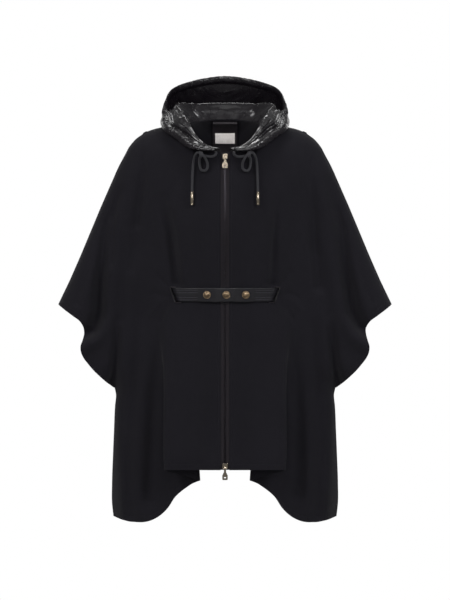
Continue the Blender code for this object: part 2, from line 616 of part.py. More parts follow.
def make_tapes():
    columns = [np.stack([np.full(len(TAPE_ROWS), x), tape_face(x), TAPE_ROWS], -1)
               for x in (GAP / 2, ZIP_HALF, TAPE_WIDTH)]
    face = np.stack(columns, axis=1)
    back = face + np.array([0.0, TAPE_THICK, 0.0])
    wall("zip_tape_right", face, back, tape)
    wall("zip_tape_left", mirrored(face), mirrored(back), tape)


PIN_RADIUS = 0.0007
EYE_BORE = 0.0011
EYE_RADIUS = 0.0020
EYE_HALF = 0.0020
PULL_THICK = 0.0014
SLIDER_STAND = 0.0024      # the slider's plate stands this far off the tapes, on its foot
SLIDER_DEPTH = 0.0034
PIN_STAND = 0.0028         # and its pin this far off the plate


def rod(name, radius, half, centre, sides=12):
    """A round bar along X."""
    rings = []
    for end in (-half, half):
        rings.append([(centre[0] + end, centre[1] + radius * math.cos(2 * math.pi * k / sides),
                       centre[2] + radius * math.sin(2 * math.pi * k / sides)) for k in range(sides)])
    return loft(name, rings, gilt, 40)


def make_slider(name, pull_name, top, bottom, pin_z, pull_end, pull_width):
    """A slider on the tapes, with two ears and a pin, and a pull whose eye hangs on the pin."""
    middle = (top + bottom) / 2
    seat = np.interp([-top, -middle, -bottom], -TAPE_ROWS, tape_face(GAP / 2)).min() - GAP
    back = seat - SLIDER_STAND
    front = back - SLIDER_DEPTH
    pin = (0.0, front - PIN_STAND, pin_z)
    slider = block(name, (0.0, (front + back) / 2, middle), (0.0112, back - front, top - bottom),
                   gilt, 0.0006)
    foot = block(name + "_foot", (0.0, (back + seat) / 2 - 0.0004, middle),
                 (0.0076, seat - back + 0.0008, top - bottom - 0.001), gilt)
    ears = [block(name + "_ear" + str(side), (side * 0.0032, (pin[1] - 0.0014 + front + 0.0006) / 2,
                                              pin_z),
                  (0.0016, front + 0.0006 - pin[1] + 0.0014, 0.0034), gilt) for side in (-1, 1)]
    pin_bar = rod(name + "_pin", PIN_RADIUS, 0.0030, pin)
    joined(slider, foot, ears[0], ears[1], pin_bar)

    wide, narrow = pull_width / 2, 0.0021
    low = pull_end - pin_z
    outline = [(-narrow, -0.0012), (narrow, -0.0012), (narrow * 1.2, low * 0.35), (wide, low * 0.62),
               (wide, low * 0.93), (wide * 0.8, low), (-wide * 0.8, low), (-wide, low * 0.93),
               (-wide, low * 0.62), (-narrow * 1.2, low * 0.35)]
    plate = loft(pull_name, [[(x, side * PULL_THICK / 2, z) for x, z in outline]
                             for side in (-1, 1)], gilt, 30)
    eye = rod(pull_name + "_eye", EYE_RADIUS, EYE_HALF, (0.0, 0.0, 0.0))
    joined(plate, eye)
    bore = rod(pull_name + "_bore", EYE_BORE, EYE_HALF * 2, (0.0, 0.0, 0.0))
    window = block(pull_name + "_window", (0.0, 0.0, low * 0.80), (pull_width * 0.36, 0.01, 0.0026),
                   gilt)
    joined(plate, bore, window, operation="DIFFERENCE")
    plate.location = pin


def make_zip():
    make_tapes()
    make_slider("zip_slider_top", "zip_pull_top", -0.0405, -0.0515, -0.0490, -0.0714, 0.0118)
    make_slider("zip_slider_bottom", "zip_pull_bottom", -0.7155, -0.7270, -0.7248, -0.7508, 0.0118)


# The belt: one strap in front of the fronts, in at a slot, round the back inside and out at the
# other slot. Its two ends lie under a tab with three snaps.
def belt_front(x, lean=0.0):
    """The face against which the belt lies, level over its height."""
    heights = np.linspace(-0.5, 0.5, 7) * BELT_HEIGHT
    places = [on_front(x + lean * SLOT_LEAN * height + step, np.full(np.shape(x), BELT_Z + height))
              for height in heights for step in (-0.004, 0.0, 0.004)]
    return np.min(places, axis=0)


STRAP_END = 0.0015         # each end of the strap stops this far from the middle of the tab
BELT_LIFT = 0.0006
SLOT_SLOPE = 2.4           # how steeply the strap goes in through the slot


def belt_path():
    """The strap's middle line on the right, as x, y, and how much it leans with the slot."""
    line = []
    for x, lean in ((0.0, 0.0), (0.02, 0.0), (0.04, 0.0), (0.055, 0.0), (0.070, 0.0), (0.082, 0.1),
                    (0.091, 0.4), (0.098, 0.8), (0.1035, 1.0)):
        line.append((x, float(belt_front(x, lean)) - BELT_LIFT - BELT_THICK / 2, lean))
    level = float(on_front(SLOT_X, BELT_Z)) + CLOTH / 2
    for offset in (-0.0022, 0.0010, 0.0045):
        line.append((SLOT_X + offset, level + offset * SLOT_SLOPE, 1.0))
    line += [(SLOT_X + 0.0110, level + 0.0150, 0.8), (SLOT_X + 0.0200, level + 0.0220, 0.4)]
    line += [(x, y, 0.0) for x, y in BELT_INSIDE]
    return np.array(line)


def strap(name, line, thick, height, coat, rows=3):
    """A flat band on edge along a line of x, y and lean."""
    flat = line.copy()
    flat[:, 2] = 0.0
    way = np.gradient(flat, axis=0)
    way /= np.linalg.norm(way, axis=1, keepdims=True)
    across = np.stack([-way[:, 1], way[:, 0], way[:, 2]], -1) * thick / 2
    heights = np.linspace(0.5, -0.5, rows) * height
    faces = []
    for side in (1, -1):
        face = np.repeat((flat + side * across)[None], rows, axis=0)
        face[..., 2] = BELT_Z + heights[:, None]
        face[..., 0] += line[None, :, 2] * SLOT_LEAN * heights[:, None]
        faces.append(face)
    return wall(name, faces[0], faces[1], coat)


def make_belt():
    half = belt_path()
    half[0, 0] = TAB_SHIFT + STRAP_END
    left = half.copy()
    left[0, 0] = STRAP_END - TAB_SHIFT
    left[:, 0] *= -1
    left[:, 2] *= -1
    whole = np.concatenate([half, left[-2::-1]])
    strap("belt_strap", whole, BELT_THICK, BELT_HEIGHT, belting)
    # The tab's points are the strap's own, moved out.
    front = whole[(np.abs(whole[:, 0]) < SLOT_X - 0.004) & (whole[:, 1] < 0)]
    front = front[np.argsort(front[:, 0])]
    ends = (TAB_SHIFT - TAB_HALF, TAB_SHIFT + TAB_HALF)
    x = np.array([ends[0], *[x for x in front[:, 0] if ends[0] < x < ends[1]], ends[1]])
    y = np.interp(x, front[:, 0], front[:, 1]) - BELT_THICK - GAP
    tab_line = np.stack([x, y, np.zeros(len(x))], -1)
    strap("belt_tab", tab_line, BELT_THICK, BELT_HEIGHT, belting, 2)
    for number in range(3):
        x = TAB_SHIFT + (number - 1) * SNAP_STEP
        reach = np.linspace(-SNAP_RADIUS, SNAP_RADIUS, 5)
        seat = float(np.interp(x + reach, tab_line[:, 0], y).min()) - BELT_THICK / 2 - GAP
        rings = []
        for share, lift in ((1.0, 0.0), (1.0, 0.0009), (0.86, 0.0019), (0.5, 0.0026)):
            rings.append([(x + SNAP_RADIUS * share * math.cos(2 * math.pi * k / 16), seat - lift - 0.0001,
                           BELT_Z + SNAP_RADIUS * share * math.sin(2 * math.pi * k / 16))
                          for k in range(16)])
        loft("snap_" + str(number + 1), rings, gilt, 35)


def make_slot_bindings():
    """A narrow nylon welt on the outer side of each slot."""
    for name, side in (("slot_binding_right", 1), ("slot_binding_left", -1)):
        z, step = np.meshgrid(BELT_Z + np.linspace(0.5, -0.5, 4) * SLOT_HEIGHT, np.array([0.0, 0.0034]),
                              indexing="ij")
        x = SLOT_X + SLOT_WIDTH / 2 + GAP + (z - BELT_Z) * SLOT_LEAN + step
        low = np.stack([x, on_front(x, z) - 2 * GAP, z], -1)
        face = low - np.array([0.0, 0.0014, 0.0])
        wall(name, face * np.array([side, 1, 1]), low * np.array([side, 1, 1]), nylon)


# The drawcord: its two free ends, each with a slip loop, and a metal tip.
def cord_line(side):
    route = np.array(CORD_ROUTE)
    y = on_front(route[:, 0], np.minimum(route[:, 1], CORD_TOP)) - route[:, 2]
    points = np.stack([side * route[:, 0], y, route[:, 1]], -1)
    keys = lengths(points)
    return spline(keys, points, np.linspace(0.0, 1.0, 39))


def make_cords():
    for name, side in (("right", 1), ("left", -1)):
        line = cord_line(side)
        curve = bpy.data.curves.new("drawcord_" + name, "CURVE")
        curve.dimensions = "3D"
        run = curve.splines.new("POLY")
        run.points.add(len(line) - 1)
        for point, place in zip(run.points, line):
            point.co = (*place, 1.0)
        curve.bevel_depth = CORD_RADIUS
        curve.bevel_resolution = 2
        curve.use_fill_caps = True
        curve.materials.append(cord)
        made = bpy.data.objects.new("drawcord_" + name, curve)
        bpy.context.collection.objects.link(made)
        end = line[-1]
        rings = []
        for share, down in ((0.8, 0.0), (1.0, 0.001), (1.0, AGLET_LENGTH - 0.001), (0.8, AGLET_LENGTH)):
            rings.append([(end[0] + AGLET_RADIUS * share * math.cos(2 * math.pi * k / 12),
                           end[1] + AGLET_RADIUS * share * math.sin(2 * math.pi * k / 12),
                           end[2] - 3 * GAP - down) for k in range(12)])
        loft("aglet_" + name, rings, gilt, 35)


make_fronts()
make_back()
make_hood()
make_casing()
make_neck_pieces()
make_zip()
make_belt()
make_slot_bindings()
make_cords()
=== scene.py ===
import math

import bmesh
import bpy
import numpy as np
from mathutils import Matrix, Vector, noise
from mathutils.bvhtree import BVHTree


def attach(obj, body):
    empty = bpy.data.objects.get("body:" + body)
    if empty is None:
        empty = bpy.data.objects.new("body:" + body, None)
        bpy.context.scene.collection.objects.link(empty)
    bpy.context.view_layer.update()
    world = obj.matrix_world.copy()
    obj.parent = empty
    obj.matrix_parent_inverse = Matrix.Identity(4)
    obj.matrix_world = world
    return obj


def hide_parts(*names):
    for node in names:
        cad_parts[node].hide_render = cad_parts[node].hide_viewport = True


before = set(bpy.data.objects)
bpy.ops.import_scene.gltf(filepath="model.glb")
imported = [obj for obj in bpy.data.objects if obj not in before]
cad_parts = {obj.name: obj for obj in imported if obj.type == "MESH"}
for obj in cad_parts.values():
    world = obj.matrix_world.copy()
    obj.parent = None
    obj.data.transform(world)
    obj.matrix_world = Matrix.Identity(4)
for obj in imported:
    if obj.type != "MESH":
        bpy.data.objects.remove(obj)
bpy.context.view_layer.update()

# The studio: a pale floor far below the hem, a white surround, and soft lamps on all sides. The
# camera stands four metres in front, level with the waist.
FLOOR_Z = -1.42
CAMERA_PLACE = (0.0, -4.0, -0.36)
CAMERA_LENS = 106.67
SURROUND_FILL = 0.12
# Each lamp: place, what it points at, width, height, power, warmth. The large ones light the cloth
# and leave no reflection; the narrow ones draw the thin lights on nylon and metal.
LAMPS = (
    ((-2.4, -2.4, 1.9), (0.0, 0.0, -0.25), 0.9, 1.3, 86.0, (1.0, 0.985, 0.97)),
    ((2.6, -2.3, 1.8), (0.0, 0.0, -0.25), 0.9, 1.3, 79.0, (0.98, 0.985, 1.0)),
    ((-2.7, -0.4, 0.5), (0.0, 0.0, 0.0), 0.5, 1.4, 12.0, (1.0, 1.0, 1.0)),
    ((2.7, -0.4, 0.5), (0.0, 0.0, 0.0), 0.5, 1.4, 14.0, (1.0, 0.985, 0.985)),
    ((-1.8, 2.8, 1.2), (0.0, 0.0, -0.3), 1.0, 1.4, 66.0, (1.0, 1.0, 1.0)),
    ((1.9, 2.7, 1.2), (0.0, 0.0, -0.3), 1.0, 1.4, 61.0, (1.0, 1.0, 1.0)),
    ((0.0, -4.6, -0.2), (0.0, 0.0, -0.3), 1.6, 1.2, 42.0, (1.0, 1.0, 1.0)),
)
STRIPS = (
    ((-1.6, -2.7, 1.1), (0.0, 0.0, 0.0), 0.12, 1.3, 5.5, (1.0, 0.99, 0.98)),
    ((1.7, -2.6, 1.0), (0.0, 0.0, 0.0), 0.12, 1.3, 5.5, (0.98, 0.99, 1.0)),
    ((0.0, -0.25, 2.0), (0.0, 0.0, 0.0), 1.4, 0.20, 10.0, (1.0, 1.0, 1.0)),
    ((0.0, -2.7, 1.75), (0.0, 0.0, 0.05), 2.2, 0.7, 2.2, (1.0, 1.0, 1.0)),
    ((-2.3, -1.1, 0.2), (0.0, 0.0, 0.0), 0.08, 1.0, 0.8, (1.0, 1.0, 1.0)),
    ((2.3, -1.1, 0.2), (0.0, 0.0, 0.0), 0.08, 1.0, 0.8, (1.0, 1.0, 1.0)),
    ((-0.5, -3.6, 0.9), (0.0, 0.0, -0.2), 0.14, 0.9, 9.0, (1.0, 1.0, 1.0)),
    ((0.55, -3.6, 0.9), (0.0, 0.0, -0.2), 0.14, 0.9, 8.0, (1.0, 1.0, 1.0)),
    ((-1.5, 2.4, 1.0), (0.0, 0.0, 0.0), 0.50, 1.3, 4.5, (1.0, 1.0, 1.0)),
    ((1.5, 2.4, 1.0), (0.0, 0.0, 0.0), 0.50, 1.3, 4.5, (1.0, 1.0, 1.0)),
    ((0.0, 1.7, 1.9), (0.0, 0.0, 0.05), 1.3, 0.08, 3.0, (1.0, 1.0, 1.0)),
)

scene = bpy.context.scene
scene.view_settings.view_transform = "Standard"
bpy.ops.object.select_all(action="DESELECT")
bpy.ops.object.camera_add(location=CAMERA_PLACE, rotation=(math.radians(90), 0.0, 0.0))
camera = bpy.context.object
camera.name = "camera"
camera.data.sensor_width = 36.0
camera.data.lens = CAMERA_LENS
scene.camera = camera

for number, (place, aim, width, height, power, tint) in enumerate(LAMPS + STRIPS):
    bpy.ops.object.light_add(type="AREA", location=place)
    lamp = bpy.context.object
    lamp.name = f"lamp_{number + 1}"
    lamp.data.shape = "RECTANGLE"
    lamp.data.size = width
    lamp.data.size_y = height
    lamp.data.energy = power
    lamp.data.color = tint
    lamp.visible_glossy = number >= len(LAMPS)
    lamp.rotation_mode = "QUATERNION"
    lamp.rotation_quaternion = (Vector(aim) - Vector(place)).to_track_quat("-Z", "Y")


def node_of(tree, kind, inputs, **settings):
    """A shader node with its settings, and for each input a value or the socket that feeds it."""
    node = tree.nodes.new(kind)
    for setting, value in settings.items():
        setattr(node, setting, value)
    for socket, value in inputs.items():
        if isinstance(value, bpy.types.NodeSocket):
            tree.links.new(value, node.inputs[socket])
        else:
            node.inputs[socket].default_value = value
    return node


surround = bpy.data.worlds.new("white surround")
surround.use_nodes = True
scene.world = surround
sky = surround.node_tree
sky.nodes.clear()
sky_fill = node_of(sky, "ShaderNodeBackground", {"Strength": SURROUND_FILL})
sky_seen = node_of(sky, "ShaderNodeBackground", {"Color": (1.0, 1.0, 1.0, 1.0), "Strength": 1.0})
sky_rays = node_of(sky, "ShaderNodeLightPath", {})
sky_mix = node_of(sky, "ShaderNodeMixShader", {0: sky_rays.outputs["Is Camera Ray"],
                                               1: sky_fill.outputs[0], 2: sky_seen.outputs[0]})
node_of(sky, "ShaderNodeOutputWorld", {"Surface": sky_mix.outputs[0]})

bpy.ops.object.select_all(action="DESELECT")
bpy.ops.mesh.primitive_plane_add(size=40.0, location=(0.0, 0.0, FLOOR_Z))
floor = bpy.context.object
floor.name = "floor"
floor.visible_glossy = False
# The camera sees it white, and clear from below; it leaves no reflection in the nylon.
pale = bpy.data.materials.new("pale floor")
pale.use_nodes = True
floor_tree = pale.node_tree
floor_paint = floor_tree.nodes["Principled BSDF"]
floor_paint.inputs["Base Color"].default_value = (0.45, 0.45, 0.45, 1.0)
floor_paint.inputs["Roughness"].default_value = 0.9
floor_white = node_of(floor_tree, "ShaderNodeEmission", {"Strength": 1.0})
floor_clear = node_of(floor_tree, "ShaderNodeBsdfTransparent", {})
floor_rays = node_of(floor_tree, "ShaderNodeLightPath", {})
floor_side = node_of(floor_tree, "ShaderNodeNewGeometry", {})
seen_or_not = node_of(floor_tree, "ShaderNodeMixShader", {0: floor_rays.outputs["Is Camera Ray"],
                                                          1: floor_paint.outputs[0],
                                                          2: floor_white.outputs[0]})
front_or_back = node_of(floor_tree, "ShaderNodeMixShader", {0: floor_side.outputs["Backfacing"],
                                                            1: seen_or_not.outputs[0],
                                                            2: floor_clear.outputs[0]})
floor_out = floor_tree.nodes["Material Output"]
floor_tree.links.new(front_or_back.outputs[0], floor_out.inputs["Surface"])
floor.data.materials.append(pale)

# The drawcord's two free ends: braided black cord, 5.5 mm thick, out of the hood's casing beside the
# zip. Each makes one slip loop, is held by a turn of itself, and ends in a light gold tip.
CORD_RADIUS = 0.00275
CORD_TOP = -0.042
CORD_POINTS = 39
BRAID_TURN = 0.0125        # the length in which a strand of the braid goes once round
BRAID_STRANDS = 8
BRAID_RISE = 0.05          # how far a strand stands up, as a share of the radius
CORD_BLACK = (0.025, 0.025, 0.029)
GILT_COLOUR = (0.90, 0.77, 0.60)
# The route: x, z, and how far it lies in front of the cloth.
CORD_ROUTE = ((0.0195, -0.0368, 0.0240), (0.0190, -0.0400, 0.0235), (0.0210, -0.0440, 0.0215),
              (0.0262, -0.0470, 0.0195), (0.0331, -0.0474, 0.0180), (0.0420, -0.0458, 0.0175),
              (0.0500, -0.0448, 0.0165), (0.0548, -0.0485, 0.0130), (0.0560, -0.0565, 0.0090),
              (0.0552, -0.0660, 0.0065), (0.0525, -0.0745, 0.0060), (0.0462, -0.0780, 0.0060),
              (0.0400, -0.0745, 0.0065), (0.0380, -0.0660, 0.0090), (0.0402, -0.0565, 0.0150),
              (0.0455, -0.0475, 0.0235), (0.0515, -0.0405, 0.0255), (0.0575, -0.0385, 0.0250),
              (0.0635, -0.0415, 0.0195), (0.0672, -0.0490, 0.0130), (0.0692, -0.0590, 0.0090),
              (0.0706, -0.0769, 0.0070), (0.0715, -0.1000, 0.0070), (0.0719, -0.1224, 0.0085))


def spline(keys, values, at):
    """Values at the given places along a smooth curve through the rows of a table."""
    keys = np.asarray(keys, float)
    values = np.asarray(values, float).reshape(len(keys), -1)
    steps = np.diff(keys)[:, None]
    runs = np.diff(values, axis=0) / steps
    slopes = np.empty_like(values)
    slopes[0] = runs[0]
    slopes[-1] = runs[-1]
    slopes[1:-1] = (runs[:-1] * steps[1:] + runs[1:] * steps[:-1]) / (steps[:-1] + steps[1:])
    at = np.clip(np.asarray(at, float), keys[0], keys[-1])
    row = np.clip(np.searchsorted(keys, at, side="right") - 1, 0, len(keys) - 2)
    step = np.diff(keys)[row][..., None]
    t = ((at - keys[row]) / np.diff(keys)[row])[..., None]
    near = values[row] * (1 + 2 * t) * (1 - t) ** 2 + values[row + 1] * t * t * (3 - 2 * t)
    return near + step * (slopes[row] * t * (1 - t) ** 2 - slopes[row + 1] * t * t * (1 - t))


def run_of(line):
    """How far along it each point of a line lies, in metres."""
    return np.concatenate([[0.0], np.cumsum(np.linalg.norm(np.diff(line, axis=0), axis=1))])


def lengths(points):
    """How far along it each point of a line lies, as a share of its length."""
    run = run_of(np.asarray(points, float))
    return run / run[-1]


def unit(vectors):
    """The same directions, each of length 1."""
    return vectors / np.linalg.norm(vectors, axis=-1, keepdims=True)


def angles_round(count):
    """Even steps once round a circle."""
    return 2 * math.pi * np.arange(count) / count


def faces_of(piece):
    """The faces of a piece, to find where what lies on it goes."""
    piece.data.calc_loop_triangles()
    corners = [vertex.co.copy() for vertex in piece.data.vertices]
    return BVHTree.FromPolygons(corners, [tuple(face.vertices) for face in piece.data.loop_triangles])


def met(tree, x, z, start, way):
    """The y at which lines along Y first meet a piece."""
    def one(px, pz):
        return tree.ray_cast((float(px), start, float(pz)), (0.0, way, 0.0))[0].y
    return np.vectorize(one)(x, z)


def piece_of(name, points, faces, coat, uv=None, marks=None, smooth=40.0):
    """A piece from points and faces, with its pattern's map and its marks if it has them."""
    mesh = bpy.data.meshes.new(name)
    mesh.from_pydata([tuple(p) for p in np.asarray(points, float).reshape(-1, 3)], [], faces)
    if uv is not None:
        corners = np.empty(len(mesh.loops), np.int32)
        mesh.loops.foreach_get("vertex_index", corners)
        layer = mesh.uv_layers.new(name="cloth map")
        layer.data.foreach_set("uv", np.asarray(uv, np.float32).reshape(-1, 2)[corners].ravel())
    for mark, values in (marks or {}).items():
        attribute = mesh.attributes.new(mark, "FLOAT", "POINT")
        attribute.data.foreach_set("value", np.asarray(values, np.float32).ravel())
    made = bpy.data.objects.new(name, mesh)
    scene.collection.objects.link(made)
    body = bmesh.new()
    body.from_mesh(mesh)
    bmesh.ops.recalc_face_normals(body, faces=body.faces)
    body.to_mesh(mesh)
    body.free()
    mesh.shade_smooth()
    mesh.set_sharp_from_angle(angle=math.radians(smooth))
    mesh.materials.append(coat)
    return made


def loft_faces(rings, count, closed=True):
    """Faces between rings of points, with flat ends where the loft is closed."""
    number = np.arange(rings * count).reshape(rings, count)
    beside = np.roll(number, -1, axis=1)
    quads = np.stack([number[:-1], beside[:-1], beside[1:], number[1:]], -1).reshape(-1, 4)
    faces = [tuple(map(int, quad)) for quad in quads]
    if closed:
        faces.append(tuple(range(count)))
        faces.append(tuple(range((rings - 1) * count, rings * count)))
    return faces


def group(name, inputs, *outputs):
    """An empty shader group with the given numbers in and out, and its way in and out."""
    made = bpy.data.node_groups.new(name, "ShaderNodeTree")
    for socket, value in inputs.items():
        way_in = made.interface.new_socket(socket, in_out="INPUT", socket_type="NodeSocketFloat")
        way_in.default_value = value
    for socket in outputs:
        made.interface.new_socket(socket, in_out="OUTPUT", socket_type="NodeSocketFloat")
    return made, made.nodes.new("NodeGroupInput"), made.nodes.new("NodeGroupOutput")


def math_node(tree, operation, *operands, clamp=False):
    """What a Math node gives; each operand is a number or a socket."""
    node = node_of(tree, "ShaderNodeMath", dict(enumerate(operands)), operation=operation, use_clamp=clamp)
    return node.outputs[0]


def finish_of(name, colour, roughness, **settings):
    """A material with its shader's own values set, and the tree and shader to build on."""
    made = bpy.data.materials.new(name)
    made.use_nodes = True
    shader = made.node_tree.nodes["Principled BSDF"]
    shader.inputs["Base Color"].default_value = (*colour, 1.0)
    shader.inputs["Roughness"].default_value = roughness
    for socket, value in settings.items():
        shader.inputs[socket.replace("_", " ")].default_value = value
    return made, made.node_tree, shader


def placed(tree, made, **values):
    """A shader group placed in a material, with its own values."""
    inputs = {socket.replace("_", " "): value for socket, value in values.items()}
    return node_of(tree, "ShaderNodeGroup", inputs, node_tree=made)


def raised(tree, shader, height, distance):
    """Relief on a finish, from a height."""
    bump = node_of(tree, "ShaderNodeBump", {"Distance": distance, "Height": height})
    tree.links.new(bump.outputs[0], shader.inputs["Normal"])


# How a surface varies: soft patches for colour and roughness, in the piece's own space.
patches, into, out = group("soft patches", {"Size": 0.05, "Low": 0.9, "High": 1.1}, "Factor")
space = node_of(patches, "ShaderNodeTexCoord", {})
scale_up = math_node(patches, "DIVIDE", 1.0, into.outputs["Size"])
cloudy = node_of(patches, "ShaderNodeTexNoise", {"Vector": space.outputs["Object"], "Scale": scale_up,
                                                 "Detail": 4.0})
spread = node_of(patches, "ShaderNodeMapRange", {"Value": cloudy.outputs[0],
                                                 "From Min": 0.3, "From Max": 0.7,
                                                 "To Min": into.outputs["Low"],
                                                 "To Max": into.outputs["High"]})
patches.links.new(spread.outputs[0], out.inputs["Factor"])


def tinted(tree, shader, colour, size, low, high, extra=None):
    """A base colour that varies in soft patches, and by a pattern's shade if there is one."""
    factor = placed(tree, patches, Size=size, Low=low, High=high).outputs[0]
    if extra is not None:
        factor = math_node(tree, "MULTIPLY", factor, extra)
    mix = node_of(tree, "ShaderNodeVectorMath", {0: colour, "Scale": factor}, operation="SCALE")
    tree.links.new(mix.outputs[0], shader.inputs["Base Color"])


def worn(tree, shader, size, low, high):
    """A roughness that varies in soft patches."""
    node = placed(tree, patches, Size=size, Low=low, High=high)
    tree.links.new(node.outputs[0], shader.inputs["Roughness"])


def map_parts(tree):
    """The two coordinates of a piece's own map."""
    own_map = node_of(tree, "ShaderNodeUVMap", {}, uv_map="cloth map")
    parts = node_of(tree, "ShaderNodeSeparateXYZ", {0: own_map.outputs[0]})
    return parts.outputs["X"], parts.outputs["Y"]


# The braid: strands that cross over and under each other round the cord.
braid, into, out = group("braid", {"Strands": BRAID_STRANDS, "Turn": BRAID_TURN}, "Height")
across_map, down_map = map_parts(braid)
around = math_node(braid, "MULTIPLY", across_map, 2 * math.pi)
along = math_node(braid, "DIVIDE", down_map, into.outputs["Turn"])
along = math_node(braid, "MULTIPLY", along, 2 * math.pi)
half = math_node(braid, "MULTIPLY", into.outputs["Strands"], 0.5)
one_way = math_node(braid, "MULTIPLY", math_node(braid, "ADD", around, along), half)
one_way = math_node(braid, "SINE", one_way)
other_way = math_node(braid, "MULTIPLY", math_node(braid, "SUBTRACT", around, along), half)
other_way = math_node(braid, "SINE", other_way)
braid.links.new(math_node(braid, "MAXIMUM", one_way, other_way), out.inputs["Height"])

black_cord, tree, shader = finish_of("black braided cord", CORD_BLACK, 0.72,
                                     Sheen_Weight=0.06, Sheen_Roughness=0.5)
weave_height = placed(tree, braid, Strands=float(BRAID_STRANDS), Turn=BRAID_TURN).outputs["Height"]
# The braid's height also tints the cord: painted shade, darker where the strands dip between each other.
tinted(tree, shader, CORD_BLACK, 0.02, 0.85, 1.15,
       math_node(tree, "MULTIPLY_ADD", weave_height, 0.18, 0.9))
raised(tree, shader, weave_height, 0.00035)

gilt, tree, shader = finish_of("light gold plate", GILT_COLOUR, 0.22, Metallic=1.0)
tinted(tree, shader, GILT_COLOUR, 0.02, 0.96, 1.03)
worn(tree, shader, 0.009, 0.19, 0.26)

cad_front = faces_of(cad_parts["front_right"])


def tube(line, radius, sides, braided=0.0):
    """Rings round a line, with no twist between them, and the map of the tube."""
    way = unit(np.gradient(line, axis=0))
    up = np.cross(way[0], (0.0, 1.0, 0.0))
    angles = angles_round(sides)
    rings, uv = [], []
    for place, ahead, far in zip(line, way, run_of(line)):
        up = unit(up - ahead * (up @ ahead))
        side = np.cross(ahead, up)
        strands = BRAID_STRANDS / 2
        phase = 2 * math.pi * far / BRAID_TURN
        relief = np.maximum(np.sin(strands * (angles + phase)), np.sin(strands * (angles - phase)))
        reach = radius * (1 + braided * (relief - 0.5))
        rings.append(place + (np.cos(angles) * reach)[:, None] * up
                     + (np.sin(angles) * reach)[:, None] * side)
        uv.append(np.stack([angles / (2 * math.pi), np.full(sides, far)], -1))
    return np.array(rings), np.array(uv)


AGLET_GAP = 0.0009
# The tip's outline: how far down, and its radius.
AGLET_OUTLINE = ((0.0, 0.0026), (0.0003, 0.0033), (0.0009, 0.0036), (0.0024, 0.0036), (0.0027, 0.00342),
                 (0.0031, 0.00342), (0.0034, 0.0036), (0.0260, 0.0036), (0.0263, 0.00342),
                 (0.0267, 0.00342), (0.0270, 0.0036), (0.0287, 0.0036), (0.0293, 0.0033),
                 (0.0295, 0.0026))
AGLET_SIDES = 40
KNOT_PLACE = (0.0522, -0.0430)
KNOT_HALF = (0.0056, 0.0086)   # half the knot's height and depth, to the middle of its cord
KNOT_STEPS = 48
KNOT_TURNS = 1.25
KNOT_START = -0.6              # the angle at which the turn starts, behind the cord
KNOT_SLIDE = 0.0042            # how far the turn moves across, so that it clears its own end

for side_name, side in (("right", 1), ("left", -1)):
    route = np.array(CORD_ROUTE)
    y = met(cad_front, route[:, 0], np.minimum(route[:, 1], CORD_TOP), -1.0, 1.0) - route[:, 2]
    points = np.stack([side * route[:, 0], y, route[:, 1]], -1)
    cord_line = spline(lengths(points), points, np.linspace(0.0, 1.0, CORD_POINTS))
    fine_line = spline(lengths(cord_line), cord_line, np.linspace(0.0, 1.0, 260))
    rings, uv = tube(fine_line, CORD_RADIUS, 24, BRAID_RISE)
    drawcord = piece_of(f"cord_{side_name}", rings, loft_faces(*rings.shape[:2]), black_cord, uv)
    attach(drawcord, "garment")
    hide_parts(f"drawcord_{side_name}")

    # The turn of cord that holds the loop, round both strands where they cross.
    near = np.abs(fine_line[:, 0] * side - KNOT_PLACE[0]) + np.abs(fine_line[:, 2] - KNOT_PLACE[1]) < 0.006
    middle_y = (fine_line[near, 1].min() + fine_line[near, 1].max()) / 2
    turns = []
    for step in range(KNOT_STEPS + 1):
        angle = 2 * math.pi * step / KNOT_STEPS * KNOT_TURNS + KNOT_START
        slide = KNOT_SLIDE * (step / KNOT_STEPS - 0.5)
        turns.append((side * (KNOT_PLACE[0] + slide), middle_y - KNOT_HALF[1] * math.cos(angle),
                      KNOT_PLACE[1] + KNOT_HALF[0] * math.sin(angle) + slide * 0.4))
    rings, uv = tube(np.array(turns), CORD_RADIUS * 0.96, 20, BRAID_RISE)
    knot = piece_of(f"cord_knot_{side_name}", rings, loft_faces(*rings.shape[:2]), black_cord, uv)
    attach(knot, "garment")

    end = cord_line[-1]
    angles = angles_round(AGLET_SIDES)
    rings = [np.stack([end[0] + radius * np.cos(angles), end[1] + radius * np.sin(angles),
                       np.full(AGLET_SIDES, end[2] - AGLET_GAP - down)], -1)
             for down, radius in AGLET_OUTLINE]
    aglet = piece_of(f"tip_{side_name}", rings, loft_faces(len(rings), AGLET_SIDES), gilt, smooth=35.0)
    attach(aglet, "garment")
    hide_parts(f"aglet_{side_name}")

# The two fronts and the back: matte black woven cloth, cut wide, so that each side hangs as a sleeve
# over the arm and as a long lobe below it. The hem, the cuffs and the edges beside the zip are turned
# in and topstitched. The front's hem is folded on itself beside the middle.
CLOTH = 0.002
GAP = 0.0003
ZIP_HALF = 0.0097
SHOULDER_TURN = 0.100
SLEEVE_TURN = 0.055
SIDE_TURN = 0.060
FRONT_ACROSS, FRONT_DOWN = 150, 220
BACK_ACROSS, BACK_DOWN = 205, 175
SEAM_REACH, SEAM_ROWS = 0.008, 8   # the width and rows over which a wall turns square to its seam
CLOTH_BLACK = (0.0078, 0.0073, 0.0097)
HEM_BAND = 0.0125
EDGE_BAND = 0.0055
STITCH = 0.0032
TWILL = 0.0011

